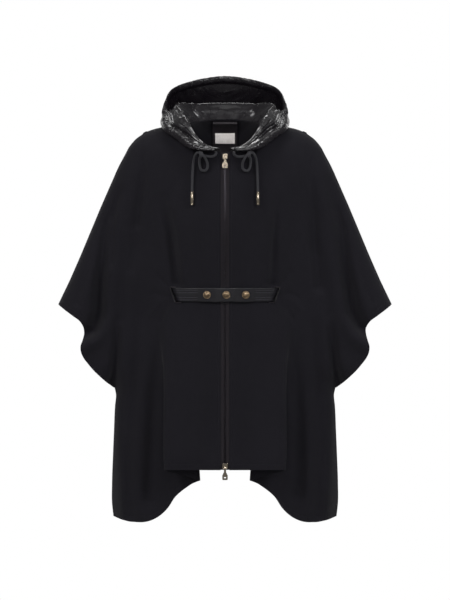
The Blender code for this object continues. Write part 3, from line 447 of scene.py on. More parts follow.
# Outlines of the right half, seen from the front: x, z.
NECK_FRONT = ((0.0097, -0.036), (0.040, -0.031), (0.062, -0.015), (0.0735, 0.008), (0.078, 0.0385))
NECK_BACK = ((0.0, 0.053), (0.022, 0.0525), (0.042, 0.050), (0.062, 0.0455), (0.0725, 0.0425),
             (0.078, 0.0385))
SHOULDER = ((0.078, 0.0385), (0.105, 0.0350), (0.140, 0.0290), (0.1654, 0.0225), (0.1913, 0.0090),
            (0.2085, -0.0065), (0.2171, -0.0180), (0.2239, -0.0315), (0.2385, -0.0585),
            (0.2565, -0.0990), (0.2801, -0.1530), (0.3026, -0.2070), (0.3251, -0.2610),
            (0.3488, -0.3150), (0.3746, -0.3690))
CUFF = ((0.3746, -0.3690), (0.3559, -0.3822), (0.3370, -0.3956), (0.3203, -0.4089),
        (0.3137, -0.4223), (0.3137, -0.4356), (0.3159, -0.4490), (0.3192, -0.4623),
        (0.3181, -0.4757), (0.3126, -0.4890), (0.3026, -0.5024), (0.2914, -0.5157),
        (0.2781, -0.5290), (0.2636, -0.5430), (0.2485, -0.5570))
SIDE = ((0.2485, -0.5570), (0.2453, -0.5715), (0.2475, -0.5985), (0.2498, -0.6525),
        (0.2520, -0.7065), (0.2543, -0.7740), (0.2543, -0.8150), (0.2510, -0.8460))
OVER_BACK = ((0.0, 0.075), (0.042, 0.070), (0.066, 0.055), (0.078, 0.0385))
OVER_FRONT = ((0.0, 0.044), (0.078, 0.0385))
NECK_SHARE = 0.20
CUFF_SHARE = 0.45

# How deep the cloth stands off the middle plane: z, at the centre, at the arm, half width of the body.
FRONT_DEPTH = ((0.06, 0.104, 0.058, 0.21), (-0.03, 0.107, 0.058, 0.22), (-0.11, 0.119, 0.058, 0.22),
               (-0.20, 0.128, 0.058, 0.21), (-0.28, 0.116, 0.060, 0.20), (-0.35, 0.107, 0.062, 0.19),
               (-0.44, 0.115, 0.064, 0.20), (-0.58, 0.127, 0.062, 0.22), (-0.74, 0.136, 0.060, 0.24),
               (-0.86, 0.140, 0.056, 0.24))
BACK_DEPTH = ((0.09, 0.108, 0.058, 0.22), (0.02, 0.110, 0.058, 0.22), (-0.06, 0.119, 0.058, 0.24),
              (-0.14, 0.127, 0.060, 0.25), (-0.26, 0.128, 0.062, 0.26), (-0.36, 0.127, 0.064, 0.26),
              (-0.50, 0.136, 0.066, 0.26), (-0.74, 0.154, 0.064, 0.26), (-0.86, 0.158, 0.058, 0.26))

# The front's hem: place along it, x, y, z. Then the back's: place along it, x, z.
FRONT_HEM = ((0.000, 0.0097, -0.1360, -0.7300), (0.250, 0.0720, -0.1345, -0.7300),
             (0.420, 0.1180, -0.1290, -0.7305), (0.475, 0.1295, -0.1255, -0.7310),
             (0.500, 0.1328, -0.1205, -0.7315), (0.525, 0.1285, -0.1155, -0.7330),
             (0.580, 0.0980, -0.1105, -0.7420), (0.635, 0.0630, -0.1055, -0.7530),
             (0.655, 0.0561, -0.1000, -0.7559), (0.675, 0.0620, -0.0945, -0.7590),
             (0.720, 0.0790, -0.0910, -0.7680), (0.770, 0.1094, -0.0810, -0.7933),
             (0.810, 0.1271, -0.0775, -0.8199), (0.850, 0.1480, -0.0755, -0.8390),
             (0.890, 0.1730, -0.0750, -0.8495), (0.930, 0.2000, -0.0680, -0.8510),
             (0.965, 0.2260, -0.0530, -0.8485), (1.000, 0.2510, -0.0002, -0.8460))
BACK_HEM = ((0.00, 0.0000, -0.7380), (0.20, 0.0500, -0.7440), (0.36, 0.0920, -0.7640),
            (0.52, 0.1320, -0.8000), (0.68, 0.1720, -0.8330), (0.84, 0.2120, -0.8460),
            (1.00, 0.2510, -0.8460))
# The fold beside the middle: its place along the hem and at the belt, and from where to where down the
# front it grows.
FOLD_AT = 0.50
FOLD_AT_BELT = 0.405
FOLD_START, FOLD_FULL = 0.47, 0.965

# The folds: path in x, z, then how far the cloth goes in and over what width. The large ones first.
FOLDS_RIGHT = (
    (((0.232, -0.100), (0.258, -0.200), (0.273, -0.320), (0.284, -0.385), (0.300, -0.418),
      (0.322, -0.433)), 0.024, 0.015),
    (((0.262, -0.400), (0.290, -0.445), (0.322, -0.468)), -0.010, 0.018),
    (((0.236, -0.415), (0.240, -0.470), (0.246, -0.520), (0.252, -0.548)), 0.018, 0.010),
    (((0.118, -0.140), (0.108, -0.220), (0.104, -0.322)), 0.0135, 0.0105),
    (((0.096, -0.150), (0.098, -0.220), (0.099, -0.310)), -0.005, 0.012),
    (((0.184, -0.030), (0.193, -0.120), (0.200, -0.230), (0.208, -0.330)), 0.010, 0.011),
    (((0.094, -0.130), (0.0915, -0.218), (0.0905, -0.322)), 0.0022, 0.0045),
    (((0.170, -0.020), (0.171, -0.104), (0.184, -0.190), (0.196, -0.250)), 0.0035, 0.010),
    (((0.146, -0.385), (0.158, -0.500), (0.164, -0.640), (0.160, -0.790)), 0.0075, 0.015),
    (((0.196, -0.420), (0.206, -0.560), (0.210, -0.700), (0.206, -0.840)), 0.0080, 0.013),
    (((0.178, -0.560), (0.184, -0.690), (0.182, -0.840)), -0.0030, 0.010),
    (((0.118, -0.350), (0.140, -0.345), (0.160, -0.352)), 0.0024, 0.0055),
    (((0.116, -0.362), (0.134, -0.378), (0.150, -0.400)), 0.0022, 0.0055),
    (((0.115, -0.334), (0.130, -0.318), (0.144, -0.296)), 0.0022, 0.0055),
    (((0.128, -0.350), (0.150, -0.362), (0.170, -0.382)), -0.0014, 0.005),
    (((0.060, -0.390), (0.058, -0.480), (0.064, -0.600)), 0.0028, 0.014),
    (((0.028, -0.420), (0.026, -0.560), (0.030, -0.700)), 0.0016, 0.010),
    (((0.290, -0.250), (0.306, -0.310), (0.324, -0.362)), 0.0045, 0.010),
    (((0.214, -0.240), (0.222, -0.320), (0.230, -0.392)), 0.0050, 0.012),
    (((0.070, -0.070), (0.094, -0.100), (0.114, -0.150)), 0.0020, 0.009),
)
FOLDS_LEFT = (
    (((0.234, -0.120), (0.262, -0.190), (0.276, -0.300), (0.280, -0.390), (0.292, -0.426),
      (0.318, -0.438)), 0.025, 0.014),
    (((0.258, -0.405), (0.288, -0.448), (0.320, -0.470)), -0.011, 0.017),
    (((0.238, -0.405), (0.241, -0.470), (0.246, -0.520), (0.252, -0.550)), 0.018, 0.010),
    (((0.142, -0.135), (0.118, -0.210), (0.107, -0.320)), 0.0145, 0.0105),
    (((0.112, -0.150), (0.104, -0.220), (0.100, -0.310)), -0.005, 0.011),
    (((0.182, -0.030), (0.184, -0.100), (0.194, -0.190)), 0.0085, 0.011),
    (((0.236, -0.090), (0.246, -0.180), (0.252, -0.280)), 0.0055, 0.0075),
    (((0.128, -0.130), (0.106, -0.218), (0.097, -0.326)), 0.0028, 0.0050),
    (((0.200, -0.180), (0.199, -0.240), (0.208, -0.290)), 0.0045, 0.011),
    (((0.143, -0.380), (0.152, -0.500), (0.162, -0.640), (0.170, -0.800)), 0.0085, 0.016),
    (((0.190, -0.400), (0.200, -0.560), (0.212, -0.700), (0.214, -0.840)), 0.0070, 0.012),
    (((0.172, -0.600), (0.178, -0.700), (0.188, -0.840)), -0.0032, 0.011),
    (((0.118, -0.352), (0.138, -0.350), (0.158, -0.344)), 0.0024, 0.0055),
    (((0.117, -0.364), (0.132, -0.382), (0.142, -0.408)), 0.0024, 0.0055),
    (((0.116, -0.336), (0.134, -0.322), (0.152, -0.306)), 0.0020, 0.0055),
    (((0.128, -0.356), (0.148, -0.370), (0.164, -0.392)), -0.0014, 0.005),
    (((0.066, -0.385), (0.070, -0.470), (0.068, -0.590)), 0.0026, 0.013),
    (((0.034, -0.440), (0.030, -0.560), (0.026, -0.690)), 0.0018, 0.011),
    (((0.294, -0.240), (0.308, -0.300), (0.328, -0.366)), 0.0040, 0.010),
    (((0.218, -0.230), (0.228, -0.330), (0.232, -0.400)), 0.0055, 0.012),
    (((0.076, -0.070), (0.100, -0.095), (0.124, -0.140)), 0.0022, 0.009),
)
FOLDS_BACK = (
    (((0.000, -0.200), (0.000, -0.450), (0.000, -0.760)), -0.008, 0.030),
    (((0.055, -0.230), (0.062, -0.480), (0.070, -0.770)), 0.015, 0.024),
    (((0.100, -0.150), (0.118, -0.450), (0.130, -0.800)), -0.012, 0.028),
    (((0.150, -0.170), (0.170, -0.450), (0.185, -0.850)), 0.016, 0.022),
    (((0.225, -0.130), (0.262, -0.260), (0.285, -0.385), (0.316, -0.440)), 0.018, 0.018),
)
# Smaller folds of the back, each on one side only: the first number is the side.
FOLDS_BACK_SMALL = (
    (1, ((0.030, -0.120), (0.034, -0.260), (0.040, -0.420)), 0.0035, 0.014),
    (-1, ((0.024, -0.100), (0.032, -0.280), (0.030, -0.460)), 0.0030, 0.012),
    (1, ((0.085, -0.360), (0.094, -0.520), (0.100, -0.780)), 0.0040, 0.012),
    (-1, ((0.090, -0.300), (0.092, -0.480), (0.104, -0.790)), 0.0045, 0.013),
    (1, ((0.205, -0.420), (0.214, -0.600), (0.222, -0.840)), 0.0050, 0.013),
    (-1, ((0.200, -0.380), (0.218, -0.590), (0.226, -0.840)), 0.0045, 0.014),
    (1, ((0.160, -0.040), (0.174, -0.120), (0.190, -0.220)), 0.0040, 0.013),
    (-1, ((0.150, -0.030), (0.172, -0.110), (0.196, -0.240)), 0.0045, 0.012),
    (1, ((0.070, -0.060), (0.104, -0.110), (0.128, -0.180)), 0.0025, 0.011),
    (-1, ((0.064, -0.070), (0.096, -0.110), (0.130, -0.170)), 0.0030, 0.010),
    (1, ((0.262, -0.200), (0.296, -0.300), (0.330, -0.370)), 0.0040, 0.011),
    (-1, ((0.266, -0.210), (0.300, -0.310), (0.326, -0.366)), 0.0045, 0.011),
)


def two_part(first, second, share, at):
    """A point on an edge made of two lines, the first of which takes the given share of it."""
    at = np.asarray(at, float)
    one = spline(lengths(first), first, at / share)
    two = spline(lengths(second), second, (at - share) / (1 - share))
    return np.where((at < share)[..., None], one, two)


def distance(x, z, line):
    """How far points are from a line in the x, z plane, and where along it the nearest place is."""
    line = np.asarray(line, float)
    marks = lengths(line)
    best = np.full(np.shape(x), 1e9)
    place = np.zeros(np.shape(x))
    for start, end, mark, next_mark in zip(line[:-1], line[1:], marks[:-1], marks[1:]):
        run = end - start
        t = ((x - start[0]) * run[0] + (z - start[1]) * run[1]) / (run @ run)
        t = np.clip(t, 0.0, 1.0)
        far = np.hypot(x - start[0] - t * run[0], z - start[1] - t * run[1])
        closer = far < best
        best = np.where(closer, far, best)
        place = np.where(closer, mark + t * (next_mark - mark), place)
    return best, place


def ramp(value, start, end):
    """0 up to the start, 1 from the end on, and straight between."""
    return np.clip((value - start) / (end - start), 0.0, 1.0)


def turn(far, reach):
    """The quarter round by which cloth turns over an edge: 0 on it, 1 past its reach."""
    return np.sqrt(1 - (1 - ramp(far, 0.0, reach)) ** 2)


def folds_at(x, z, folds):
    """How far the soft folds push the cloth in. A fold starts shallow, swells and dies out."""
    total = np.zeros(np.shape(x))
    for path, depth, width in folds:
        far, place = distance(x, z, path)
        swell = np.sin(np.pi * np.clip(0.12 + 0.88 * place, 0.0, 1.0) ** 0.8 * 0.62) ** 1.5
        total = total + depth * swell * np.exp(-((far / width) ** 2))
    return total


# Slow waves of the cloth between its folds: direction in x and z, start, height.
WAVES = ((31.0, 9.0, 0.4, 0.0007), (-22.0, 17.0, 1.9, 0.0007), (47.0, -13.0, 3.1, 0.0004),
         (12.0, 38.0, 0.8, 0.0005), (68.0, 6.0, 5.2, 0.00025), (-38.0, 55.0, 2.6, 0.0002))


def waves_at(x, z):
    """How far the slow waves lift the cloth."""
    return sum(high * np.sin(a * x + b * z + start + 1.3 * np.sin(0.5 * b * x - 0.4 * a * z))
               for a, b, start, high in WAVES)


def stand_off(x, z, table, over, folds):
    """How far the cloth of the front or of the back stands off the middle plane."""
    keys = -np.array([row[0] for row in table])
    centre, arm, width = np.moveaxis(spline(keys, [row[1:] for row in table], -z), -1, 0)
    body = (1 - ramp(x, 0.0, width) ** 2) ** 2
    depth = arm + (centre - arm) * body
    above, _ = distance(x, z, over + SHOULDER[1:])
    sleeve = ramp(x, 0.10, 0.22)
    top = turn(above, SHOULDER_TURN + (SLEEVE_TURN - SHOULDER_TURN) * sleeve)
    beside, _ = distance(x, z, SIDE)
    rounded = top * turn(beside, SIDE_TURN)
    return rounded * depth - folds_at(x, z, folds) * ramp(rounded, 0.25, 0.875)


def patch(top, bottom, inner, outer, u, v):
    """A surface between four edges, given as x, z arrays at u or v."""
    corners = ((1 - u) * (1 - v) * inner[:1, :1] + u * (1 - v) * outer[:1, :1]
               + (1 - u) * v * inner[-1:, :1] + u * v * outer[-1:, :1])
    return (1 - v) * top + v * bottom + (1 - u) * inner + u * outer - corners


def panel_xz(u, v, neck, hem, inner_x):
    """Where a point of the right half of a panel lies, seen from the front."""
    top = two_part(neck, SHOULDER, NECK_SHARE, u)
    outer = two_part(CUFF, SIDE, CUFF_SHARE, v)
    keys = [row[0] for row in hem]
    low = spline(keys, [(row[1], row[-1]) for row in hem], u)
    if hem is FRONT_HEM:
        low[..., 0] = inner_x + (SIDE[-1][0] - inner_x) * u
    inner = np.stack([np.full(np.shape(v), inner_x), neck[0][1] + (hem[0][-1] - neck[0][1]) * v], -1)
    return patch(top, low, inner, outer, u[..., None], v[..., None])


def front_surface(columns, rows, folds, side):
    """The outer face of a front, laid out as the right one, as rows of points."""
    v, folded = np.meshgrid(rows, columns, indexing="ij")
    share = 1 - ramp(v, FOLD_START, 1.0)
    move = (FOLD_AT_BELT - FOLD_AT) * share
    u = folded + move * np.where(folded < FOLD_AT, folded / FOLD_AT, (1 - folded) / (1 - FOLD_AT))
    place = panel_xz(u, v, NECK_FRONT, FRONT_HEM, ZIP_HALF)
    x, z = place[..., 0], place[..., 1]
    hem = spline([row[0] for row in FRONT_HEM], [row[1:] for row in FRONT_HEM], folded)
    flat_x = ZIP_HALF + (SIDE[-1][0] - ZIP_HALF) * folded
    grown = ramp(v, FOLD_START, FOLD_FULL) ** 1.25
    smooth_x = x
    x = x + grown * (hem[..., 0] - flat_x)
    base = -stand_off(x, z, FRONT_DEPTH, OVER_FRONT, folds)
    hem_base = -stand_off(hem[..., 0], hem[..., 2], FRONT_DEPTH, OVER_FRONT, folds)
    y = base + grown * (hem[..., 1] - hem_base)
    still = ramp(smooth_x, 0.02, 0.07) * ramp(v, 0.0, 0.12)
    still = still * np.maximum(1 - ramp(v, 0.94, 1.0), 0.15) * (1 - ramp(u, 0.95, 1.0))
    y = y + (waves_at(side * smooth_x, z) + 0.0006) * still
    points = np.stack([x, np.minimum(y, -GAP / 2), z], -1)
    points[0, columns >= NECK_SHARE, 1] = -GAP / 2
    points[rows >= CUFF_SHARE, -1, 1] = -GAP / 2
    return points


def back_surface(columns, rows):
    """The outer face of the whole back, from its left edge to its right edge."""
    v, u = np.meshgrid(rows, np.abs(columns), indexing="ij")
    place = panel_xz(u, v, NECK_BACK, BACK_HEM, 0.0)
    x, z = place[..., 0] * np.sign(columns), place[..., 1]
    y = stand_off(np.abs(x), z, BACK_DEPTH, OVER_BACK, FOLDS_BACK)
    still = ramp(v, 0.0, 0.15) * (1 - ramp(u, 0.92, 1.0))
    small = sum(folds_at(side * x, z, ((path, depth, width),))
                for side, path, depth, width in FOLDS_BACK_SMALL)
    y = y - (small + 1.4 * waves_at(1.1 * x + 0.3, z)) * still
    points = np.stack([x, np.maximum(y, GAP / 2), z], -1)
    points[0, np.abs(columns) >= NECK_SHARE, 1] = GAP / 2
    for end in (0, -1):
        points[rows >= CUFF_SHARE, end, 1] = GAP / 2
    return points


def normals(grid):
    """Unit normals of a grid of points."""
    normal = np.cross(np.gradient(grid, axis=1), np.gradient(grid, axis=0))
    return normal / np.maximum(np.linalg.norm(normal, axis=-1, keepdims=True), 1e-12)


def inside_of(grid, thickness, seam=None):
    """The other face of a sheet. Beside a seam it lies straight in from the outline."""
    normal = normals(grid)
    if seam is not None:
        for line, inward in (((0, slice(None)), "down"), ((slice(None), 0), "right"),
                             ((slice(None), -1), "left")):
            way = np.gradient(grid[line], axis=0)
            straight = unit(np.stack([-way[:, 2], 0.0 * way[:, 0], way[:, 0]], -1))
            out = straight[:, 2] if inward == "down" else straight[:, 0] * np.sign(grid[line][:, 0])
            straight *= (np.sign(out) * np.sign(thickness))[:, None]
            for step in range(SEAM_ROWS):
                near = {"down": (step, slice(None)), "right": (slice(None), step),
                        "left": (slice(None), -1 - step)}[inward]
                far = np.linalg.norm(grid[near] - grid[line], axis=-1)[:, None]
                share = ramp(far, 0.0, SEAM_REACH)
                blend = unit(straight * (1 - share) + normal[near] * share)
                normal[near] = np.where(seam[line][:, None], blend, normal[near])
    return grid - thickness * normal


def map_of(grid):
    """How far along and down a sheet each of its points lies, in metres of cloth."""
    across = np.linalg.norm(np.diff(grid, axis=1), axis=-1)
    down = np.linalg.norm(np.diff(grid, axis=0), axis=-1)
    u = np.concatenate([np.zeros((len(grid), 1)), np.cumsum(across, axis=1)], axis=1)
    v = np.concatenate([np.zeros((1, grid.shape[1])), np.cumsum(down, axis=0)])
    return np.stack([u, v], -1)


def sheet_of(name, outer, inner, coat, marks=None, smooth=45.0, pattern=None):
    """A closed thin shell between two grids of points, with the cloth's map on both faces."""
    rows, columns = outer.shape[:2]
    number = np.arange(rows * columns).reshape(rows, columns)
    here = np.stack([number[:-1, :-1], number[:-1, 1:], number[1:, 1:], number[1:, :-1]], -1)
    there = (here + rows * columns)[..., ::-1]
    faces = [tuple(map(int, face)) for face in np.concatenate([here, there]).reshape(-1, 4)]
    edge = (list(number[0]) + list(number[1:, -1]) + list(number[-1, -2::-1])
            + list(number[-2:0:-1, 0]))
    far = rows * columns
    faces += [(int(a), int(a + far), int(b + far), int(b)) for a, b in zip(edge, edge[1:] + edge[:1])]
    uv = map_of(outer) if pattern is None else pattern
    both = {mark: np.concatenate([values.ravel(), values.ravel()]) for mark, values in
            (marks or {}).items()}
    return piece_of(name, np.concatenate([outer.reshape(-1, 3), inner.reshape(-1, 3)]), faces, coat,
                    np.concatenate([uv.reshape(-1, 2)] * 2), both, smooth)


# The weave: a fine twill on the cloth's own map.
twill, into, out = group("twill weave", {"Pitch": TWILL, "Slant": 1.0}, "Height")
across_map, down_map = map_parts(twill)
slanted = math_node(twill, "MULTIPLY_ADD", down_map, into.outputs["Slant"], across_map)
turns = math_node(twill, "DIVIDE", slanted, into.outputs["Pitch"])
ribs = math_node(twill, "SINE", math_node(twill, "MULTIPLY", turns, 2 * math.pi))
crossing = math_node(twill, "DIVIDE", down_map, into.outputs["Pitch"])
crossing = math_node(twill, "SINE", math_node(twill, "MULTIPLY", crossing, 4 * math.pi))
twill.links.new(math_node(twill, "MULTIPLY_ADD", crossing, 0.35, ribs), out.inputs["Height"])

# A row of stitching: a groove a given way in from an edge, with threads in it.
stitching, into, out = group("row of stitching", {"Far": 0.0, "Run": 0.0, "At": 0.006, "Half Width": 0.0009,
                                                  "Stitch": STITCH}, "Groove", "Thread")
off = math_node(stitching, "SUBTRACT", into.outputs["Far"], into.outputs["At"])
off = math_node(stitching, "DIVIDE", off, into.outputs["Half Width"])
bell = math_node(stitching, "MULTIPLY", math_node(stitching, "MULTIPLY", off, off), -1.0)
bell = math_node(stitching, "EXPONENT", bell)
dash = math_node(stitching, "DIVIDE", into.outputs["Run"], into.outputs["Stitch"])
dash = math_node(stitching, "SINE", math_node(stitching, "MULTIPLY", dash, 2 * math.pi))
dash = math_node(stitching, "MULTIPLY_ADD", dash, 2.2, 1.2, clamp=True)
narrow = math_node(stitching, "POWER", bell, 3.0)
stitching.links.new(bell, out.inputs["Groove"])
stitching.links.new(math_node(stitching, "MULTIPLY", narrow, dash), out.inputs["Thread"])


def mark_node(tree, name):
    """A mark that the piece carries on its points."""
    return node_of(tree, "ShaderNodeAttribute", {}, attribute_name=name).outputs["Fac"]


black_cloth, tree, shader = finish_of("matte black cloth", CLOTH_BLACK, 0.88,
                                      Sheen_Weight=0.03, Sheen_Roughness=0.55,
                                      Specular_IOR_Level=0.15)
weave_height = placed(tree, twill, Pitch=TWILL, Slant=1.0).outputs["Height"]
hem_row = placed(tree, stitching, Far=mark_node(tree, "hem"), Run=mark_node(tree, "run"), At=HEM_BAND)
edge_row = placed(tree, stitching, Far=mark_node(tree, "placket"), Run=mark_node(tree, "fall"),
                  At=EDGE_BAND)
grooves = math_node(tree, "ADD", hem_row.outputs["Groove"], edge_row.outputs["Groove"])
threads = math_node(tree, "ADD", hem_row.outputs["Thread"], edge_row.outputs["Thread"])
relief = math_node(tree, "MULTIPLY_ADD", grooves, -0.00060, math_node(tree, "MULTIPLY", threads, 0.00042))
relief = math_node(tree, "MULTIPLY_ADD", weave_height, 0.00005, relief)
# Painted shade: the colour darkens along the weave's low lines and by up to 18% in the stitch grooves; the
# threads are a lighter colour.
shade = math_node(tree, "MULTIPLY_ADD", weave_height, 0.06, 1.0)
shade = math_node(tree, "MULTIPLY_ADD", threads, 0.9, shade)
shade = math_node(tree, "MULTIPLY", shade, math_node(tree, "MULTIPLY_ADD", grooves, -0.18, 1.0))
tinted(tree, shader, CLOTH_BLACK, 0.16, 0.94, 1.06, shade)
worn(tree, shader, 0.02, 0.84, 0.93)
raised(tree, shader, relief, 1.0)

# The belt's slots: the middle of one at the belt's mid height, and its lean, width and height.
BELT_Z = -0.3487
SLOT_X = 0.1090
SLOT_LEAN = 0.37
SLOT_WIDTH = 0.0100
SLOT_HEIGHT = 0.0316
SLOT_CUT = (-0.13, -0.06)  # from where to where the slot's cutter reaches, in y

# Where a panel's columns and rows lie, closer where the cloth folds or turns.
FRONT_COLUMNS = (0.0, 0.045, 0.09, 0.13, 0.165, 0.20, 0.28, 0.36, 0.43, 0.475, 0.50, 0.525, 0.58, 0.635,
                 0.655, 0.675, 0.72, 0.77, 0.82, 0.87, 0.92, 0.96, 0.985, 1.0)
PANEL_ROWS = (0.0, 0.004, 0.015, 0.036, 0.07, 0.11, 0.15, 0.19, 0.23, 0.27, 0.315, 0.36, 0.405, 0.45,
              0.50, 0.56, 0.62, 0.69, 0.76, 0.83, 0.90, 0.955, 1.0)


def finer(stations, count):
    """Stations spaced as the given ones are, but closer, and always with those in them."""
    at = np.linspace(0.0, len(stations) - 1.0, count)
    fine = np.interp(at, np.arange(len(stations)), stations)
    return np.unique(np.round(np.concatenate([fine, stations]), 6))


def marks_of(grid, rows, whole=False):
    """How far each point is from the hem or cuff and along it, and from the edge beside the zip.

    The whole back has a cuff at each end and no zip.
    """
    across, down = np.moveaxis(map_of(grid), -1, 0)
    to_hem = down[-1:] - down
    to_cuff = across[:, -1:] - across
    if whole:
        to_cuff = np.minimum(across, to_cuff)
    to_cuff = to_cuff + np.where(rows < CUFF_SHARE, 0.0, 1.0)[:, None]
    return {"hem": np.minimum(to_hem, to_cuff), "run": np.where(to_hem < to_cuff, across, down),
            "placket": np.ones(across.shape) if whole else across, "fall": down}


cloth_pieces = {}
for side_name, side, folds in (("right", 1, FOLDS_RIGHT), ("left", -1, FOLDS_LEFT)):
    columns, rows = finer(FRONT_COLUMNS, FRONT_ACROSS), finer(PANEL_ROWS, FRONT_DOWN)
    outer = front_surface(columns, rows, folds, side)
    seam = np.zeros(outer.shape[:2], bool)
    seam[0, columns >= NECK_SHARE] = True
    seam[rows >= CUFF_SHARE, -1] = True
    inner = inside_of(outer, -CLOTH, seam)
    flip = np.array([side, 1.0, 1.0])
    panel = sheet_of(f"cloth_front_{side_name}", outer * flip, inner * flip, black_cloth,
                     marks_of(outer, rows))
    cloth_pieces[side_name] = faces_of(panel)

    # The slot, cut through with a leaning box.
    corners = []
    for end in (-0.5, 0.5):
        z = BELT_Z + end * SLOT_HEIGHT
        x = SLOT_X + end * SLOT_HEIGHT * SLOT_LEAN
        ahead, behind = SLOT_CUT
        corners += [(side * (x + dx * SLOT_WIDTH / 2), y, z)
                    for dx, y in ((-1, ahead), (1, ahead), (1, behind), (-1, behind))]
    cutter = piece_of("slot_cutter", corners, loft_faces(2, 4), black_cloth)
    cut = panel.modifiers.new("slot", "BOOLEAN")
    cut.object = cutter
    cut.operation = "DIFFERENCE"
    cut.solver = "EXACT"
    bpy.ops.object.select_all(action="DESELECT")
    panel.select_set(True)
    bpy.context.view_layer.objects.active = panel
    bpy.ops.object.modifier_apply(modifier="slot")
    bpy.data.objects.remove(cutter, do_unlink=True)
    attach(panel, "garment")
    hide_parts(f"front_{side_name}")

# The back's columns, from its middle to its right edge; the left half mirrors them.
BACK_COLUMNS = (0.0, 0.05, 0.10, 0.15, 0.20, 0.27, 0.34, 0.41, 0.48, 0.56, 0.64, 0.72, 0.80, 0.88, 0.94,
                0.98, 1.0)
columns = finer(tuple(-at for at in BACK_COLUMNS[:0:-1]) + BACK_COLUMNS, BACK_ACROSS)
rows = finer(PANEL_ROWS, BACK_DOWN)
outer = back_surface(columns, rows)
seam = np.zeros(outer.shape[:2], bool)
seam[0, np.abs(columns) >= NECK_SHARE] = True
for end in (0, -1):
    seam[rows >= CUFF_SHARE, end] = True
cloth_back = sheet_of("cloth_back", outer, inside_of(outer, CLOTH, seam), black_cloth,
                      marks_of(outer, rows, whole=True))
cloth_pieces["back"] = faces_of(cloth_back)
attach(cloth_back, "garment")
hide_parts("back")

# The hood: black nylon with a lacquered shine, in two side panels and a centre panel. The stand rises
# from the neck seam to a crease and falls back inside the bag, which lies open behind the neck.
NYLON = 0.0012
NYLON_BLACK = (0.0052, 0.0043, 0.0058)
CASING_HALF = 0.009
CASING_THICK = 0.0034
HOOD_ROWS = 120
HOOD_SIDE_COLUMNS, HOOD_CENTRE_COLUMNS = 130, 56
CROWN_SEAM = 0.84
SEAM_STEP = 0.0002
NECK_RING_FRONT = 0.60
CASING_START = 0.025

# From the zip to the centre back: place round the neck, then x, y, z.
CREASE = ((0.00, 0.0115, -0.1065, -0.0300), (0.15, 0.0350, -0.1040, -0.0250),
          (0.30, 0.0575, -0.0955, -0.0060), (0.42, 0.0755, -0.0730, 0.0230),
          (0.52, 0.0870, -0.0420, 0.0470), (0.60, 0.0945, -0.0050, 0.0630),
          (0.75, 0.1080, 0.0450, 0.0870), (0.88, 0.0620, 0.0760, 0.0905),
          (1.00, 0.0000, 0.0860, 0.0920))
FALL = ((0.00, 0.0125, -0.1090, -0.0282), (0.15, 0.0370, -0.1075, -0.0228),
        (0.30, 0.0610, -0.0995, -0.0042), (0.42, 0.0805, -0.0765, 0.0235),
        (0.52, 0.0975, -0.0480, 0.0440), (0.60, 0.1045, -0.0045, 0.0620),
        (0.75, 0.1160, 0.0480, 0.0740), (0.88, 0.0820, 0.1040, 0.0400),
        (1.00, 0.0000, 0.1200, 0.0250))
BELLY = ((0.00, 0.0135, -0.1115, -0.0280), (0.15, 0.0395, -0.1110, -0.0228),
         (0.30, 0.0650, -0.1025, -0.0050), (0.42, 0.0860, -0.0800, 0.0195),
         (0.52, 0.1060, -0.0520, 0.0385), (0.60, 0.1140, -0.0045, 0.0590),
         (0.75, 0.1230, 0.0530, 0.0660), (0.88, 0.1000, 0.1290, 0.0020),
         (1.00, 0.0000, 0.1460, -0.0480))
WALL = ((0.00, 0.0145, -0.1140, -0.0285), (0.15, 0.0420, -0.1140, -0.0240),
        (0.30, 0.0690, -0.1045, -0.0078), (0.42, 0.0915, -0.0820, 0.0130),
        (0.52, 0.1155, -0.0540, 0.0320), (0.60, 0.1235, -0.0040, 0.0540),
        (0.75, 0.1310, 0.0580, 0.0680), (0.88, 0.1180, 0.1430, 0.0600),
        (1.00, 0.0000, 0.1800, 0.0450))
RIM = ((0.00, 0.0165, -0.1265, -0.0325), (0.15, 0.0475, -0.1265, -0.0300),
       (0.30, 0.0790, -0.1110, -0.0185), (0.42, 0.1030, -0.0860, 0.0020),
       (0.52, 0.1290, -0.0570, 0.0225), (0.60, 0.1375, -0.0040, 0.0440),
       (0.675, 0.1345, 0.0270, 0.0630), (0.75, 0.1350, 0.0560, 0.0835),
       (0.88, 0.1085, 0.1180, 0.1285), (1.00, 0.0000, 0.1520, 0.1540))

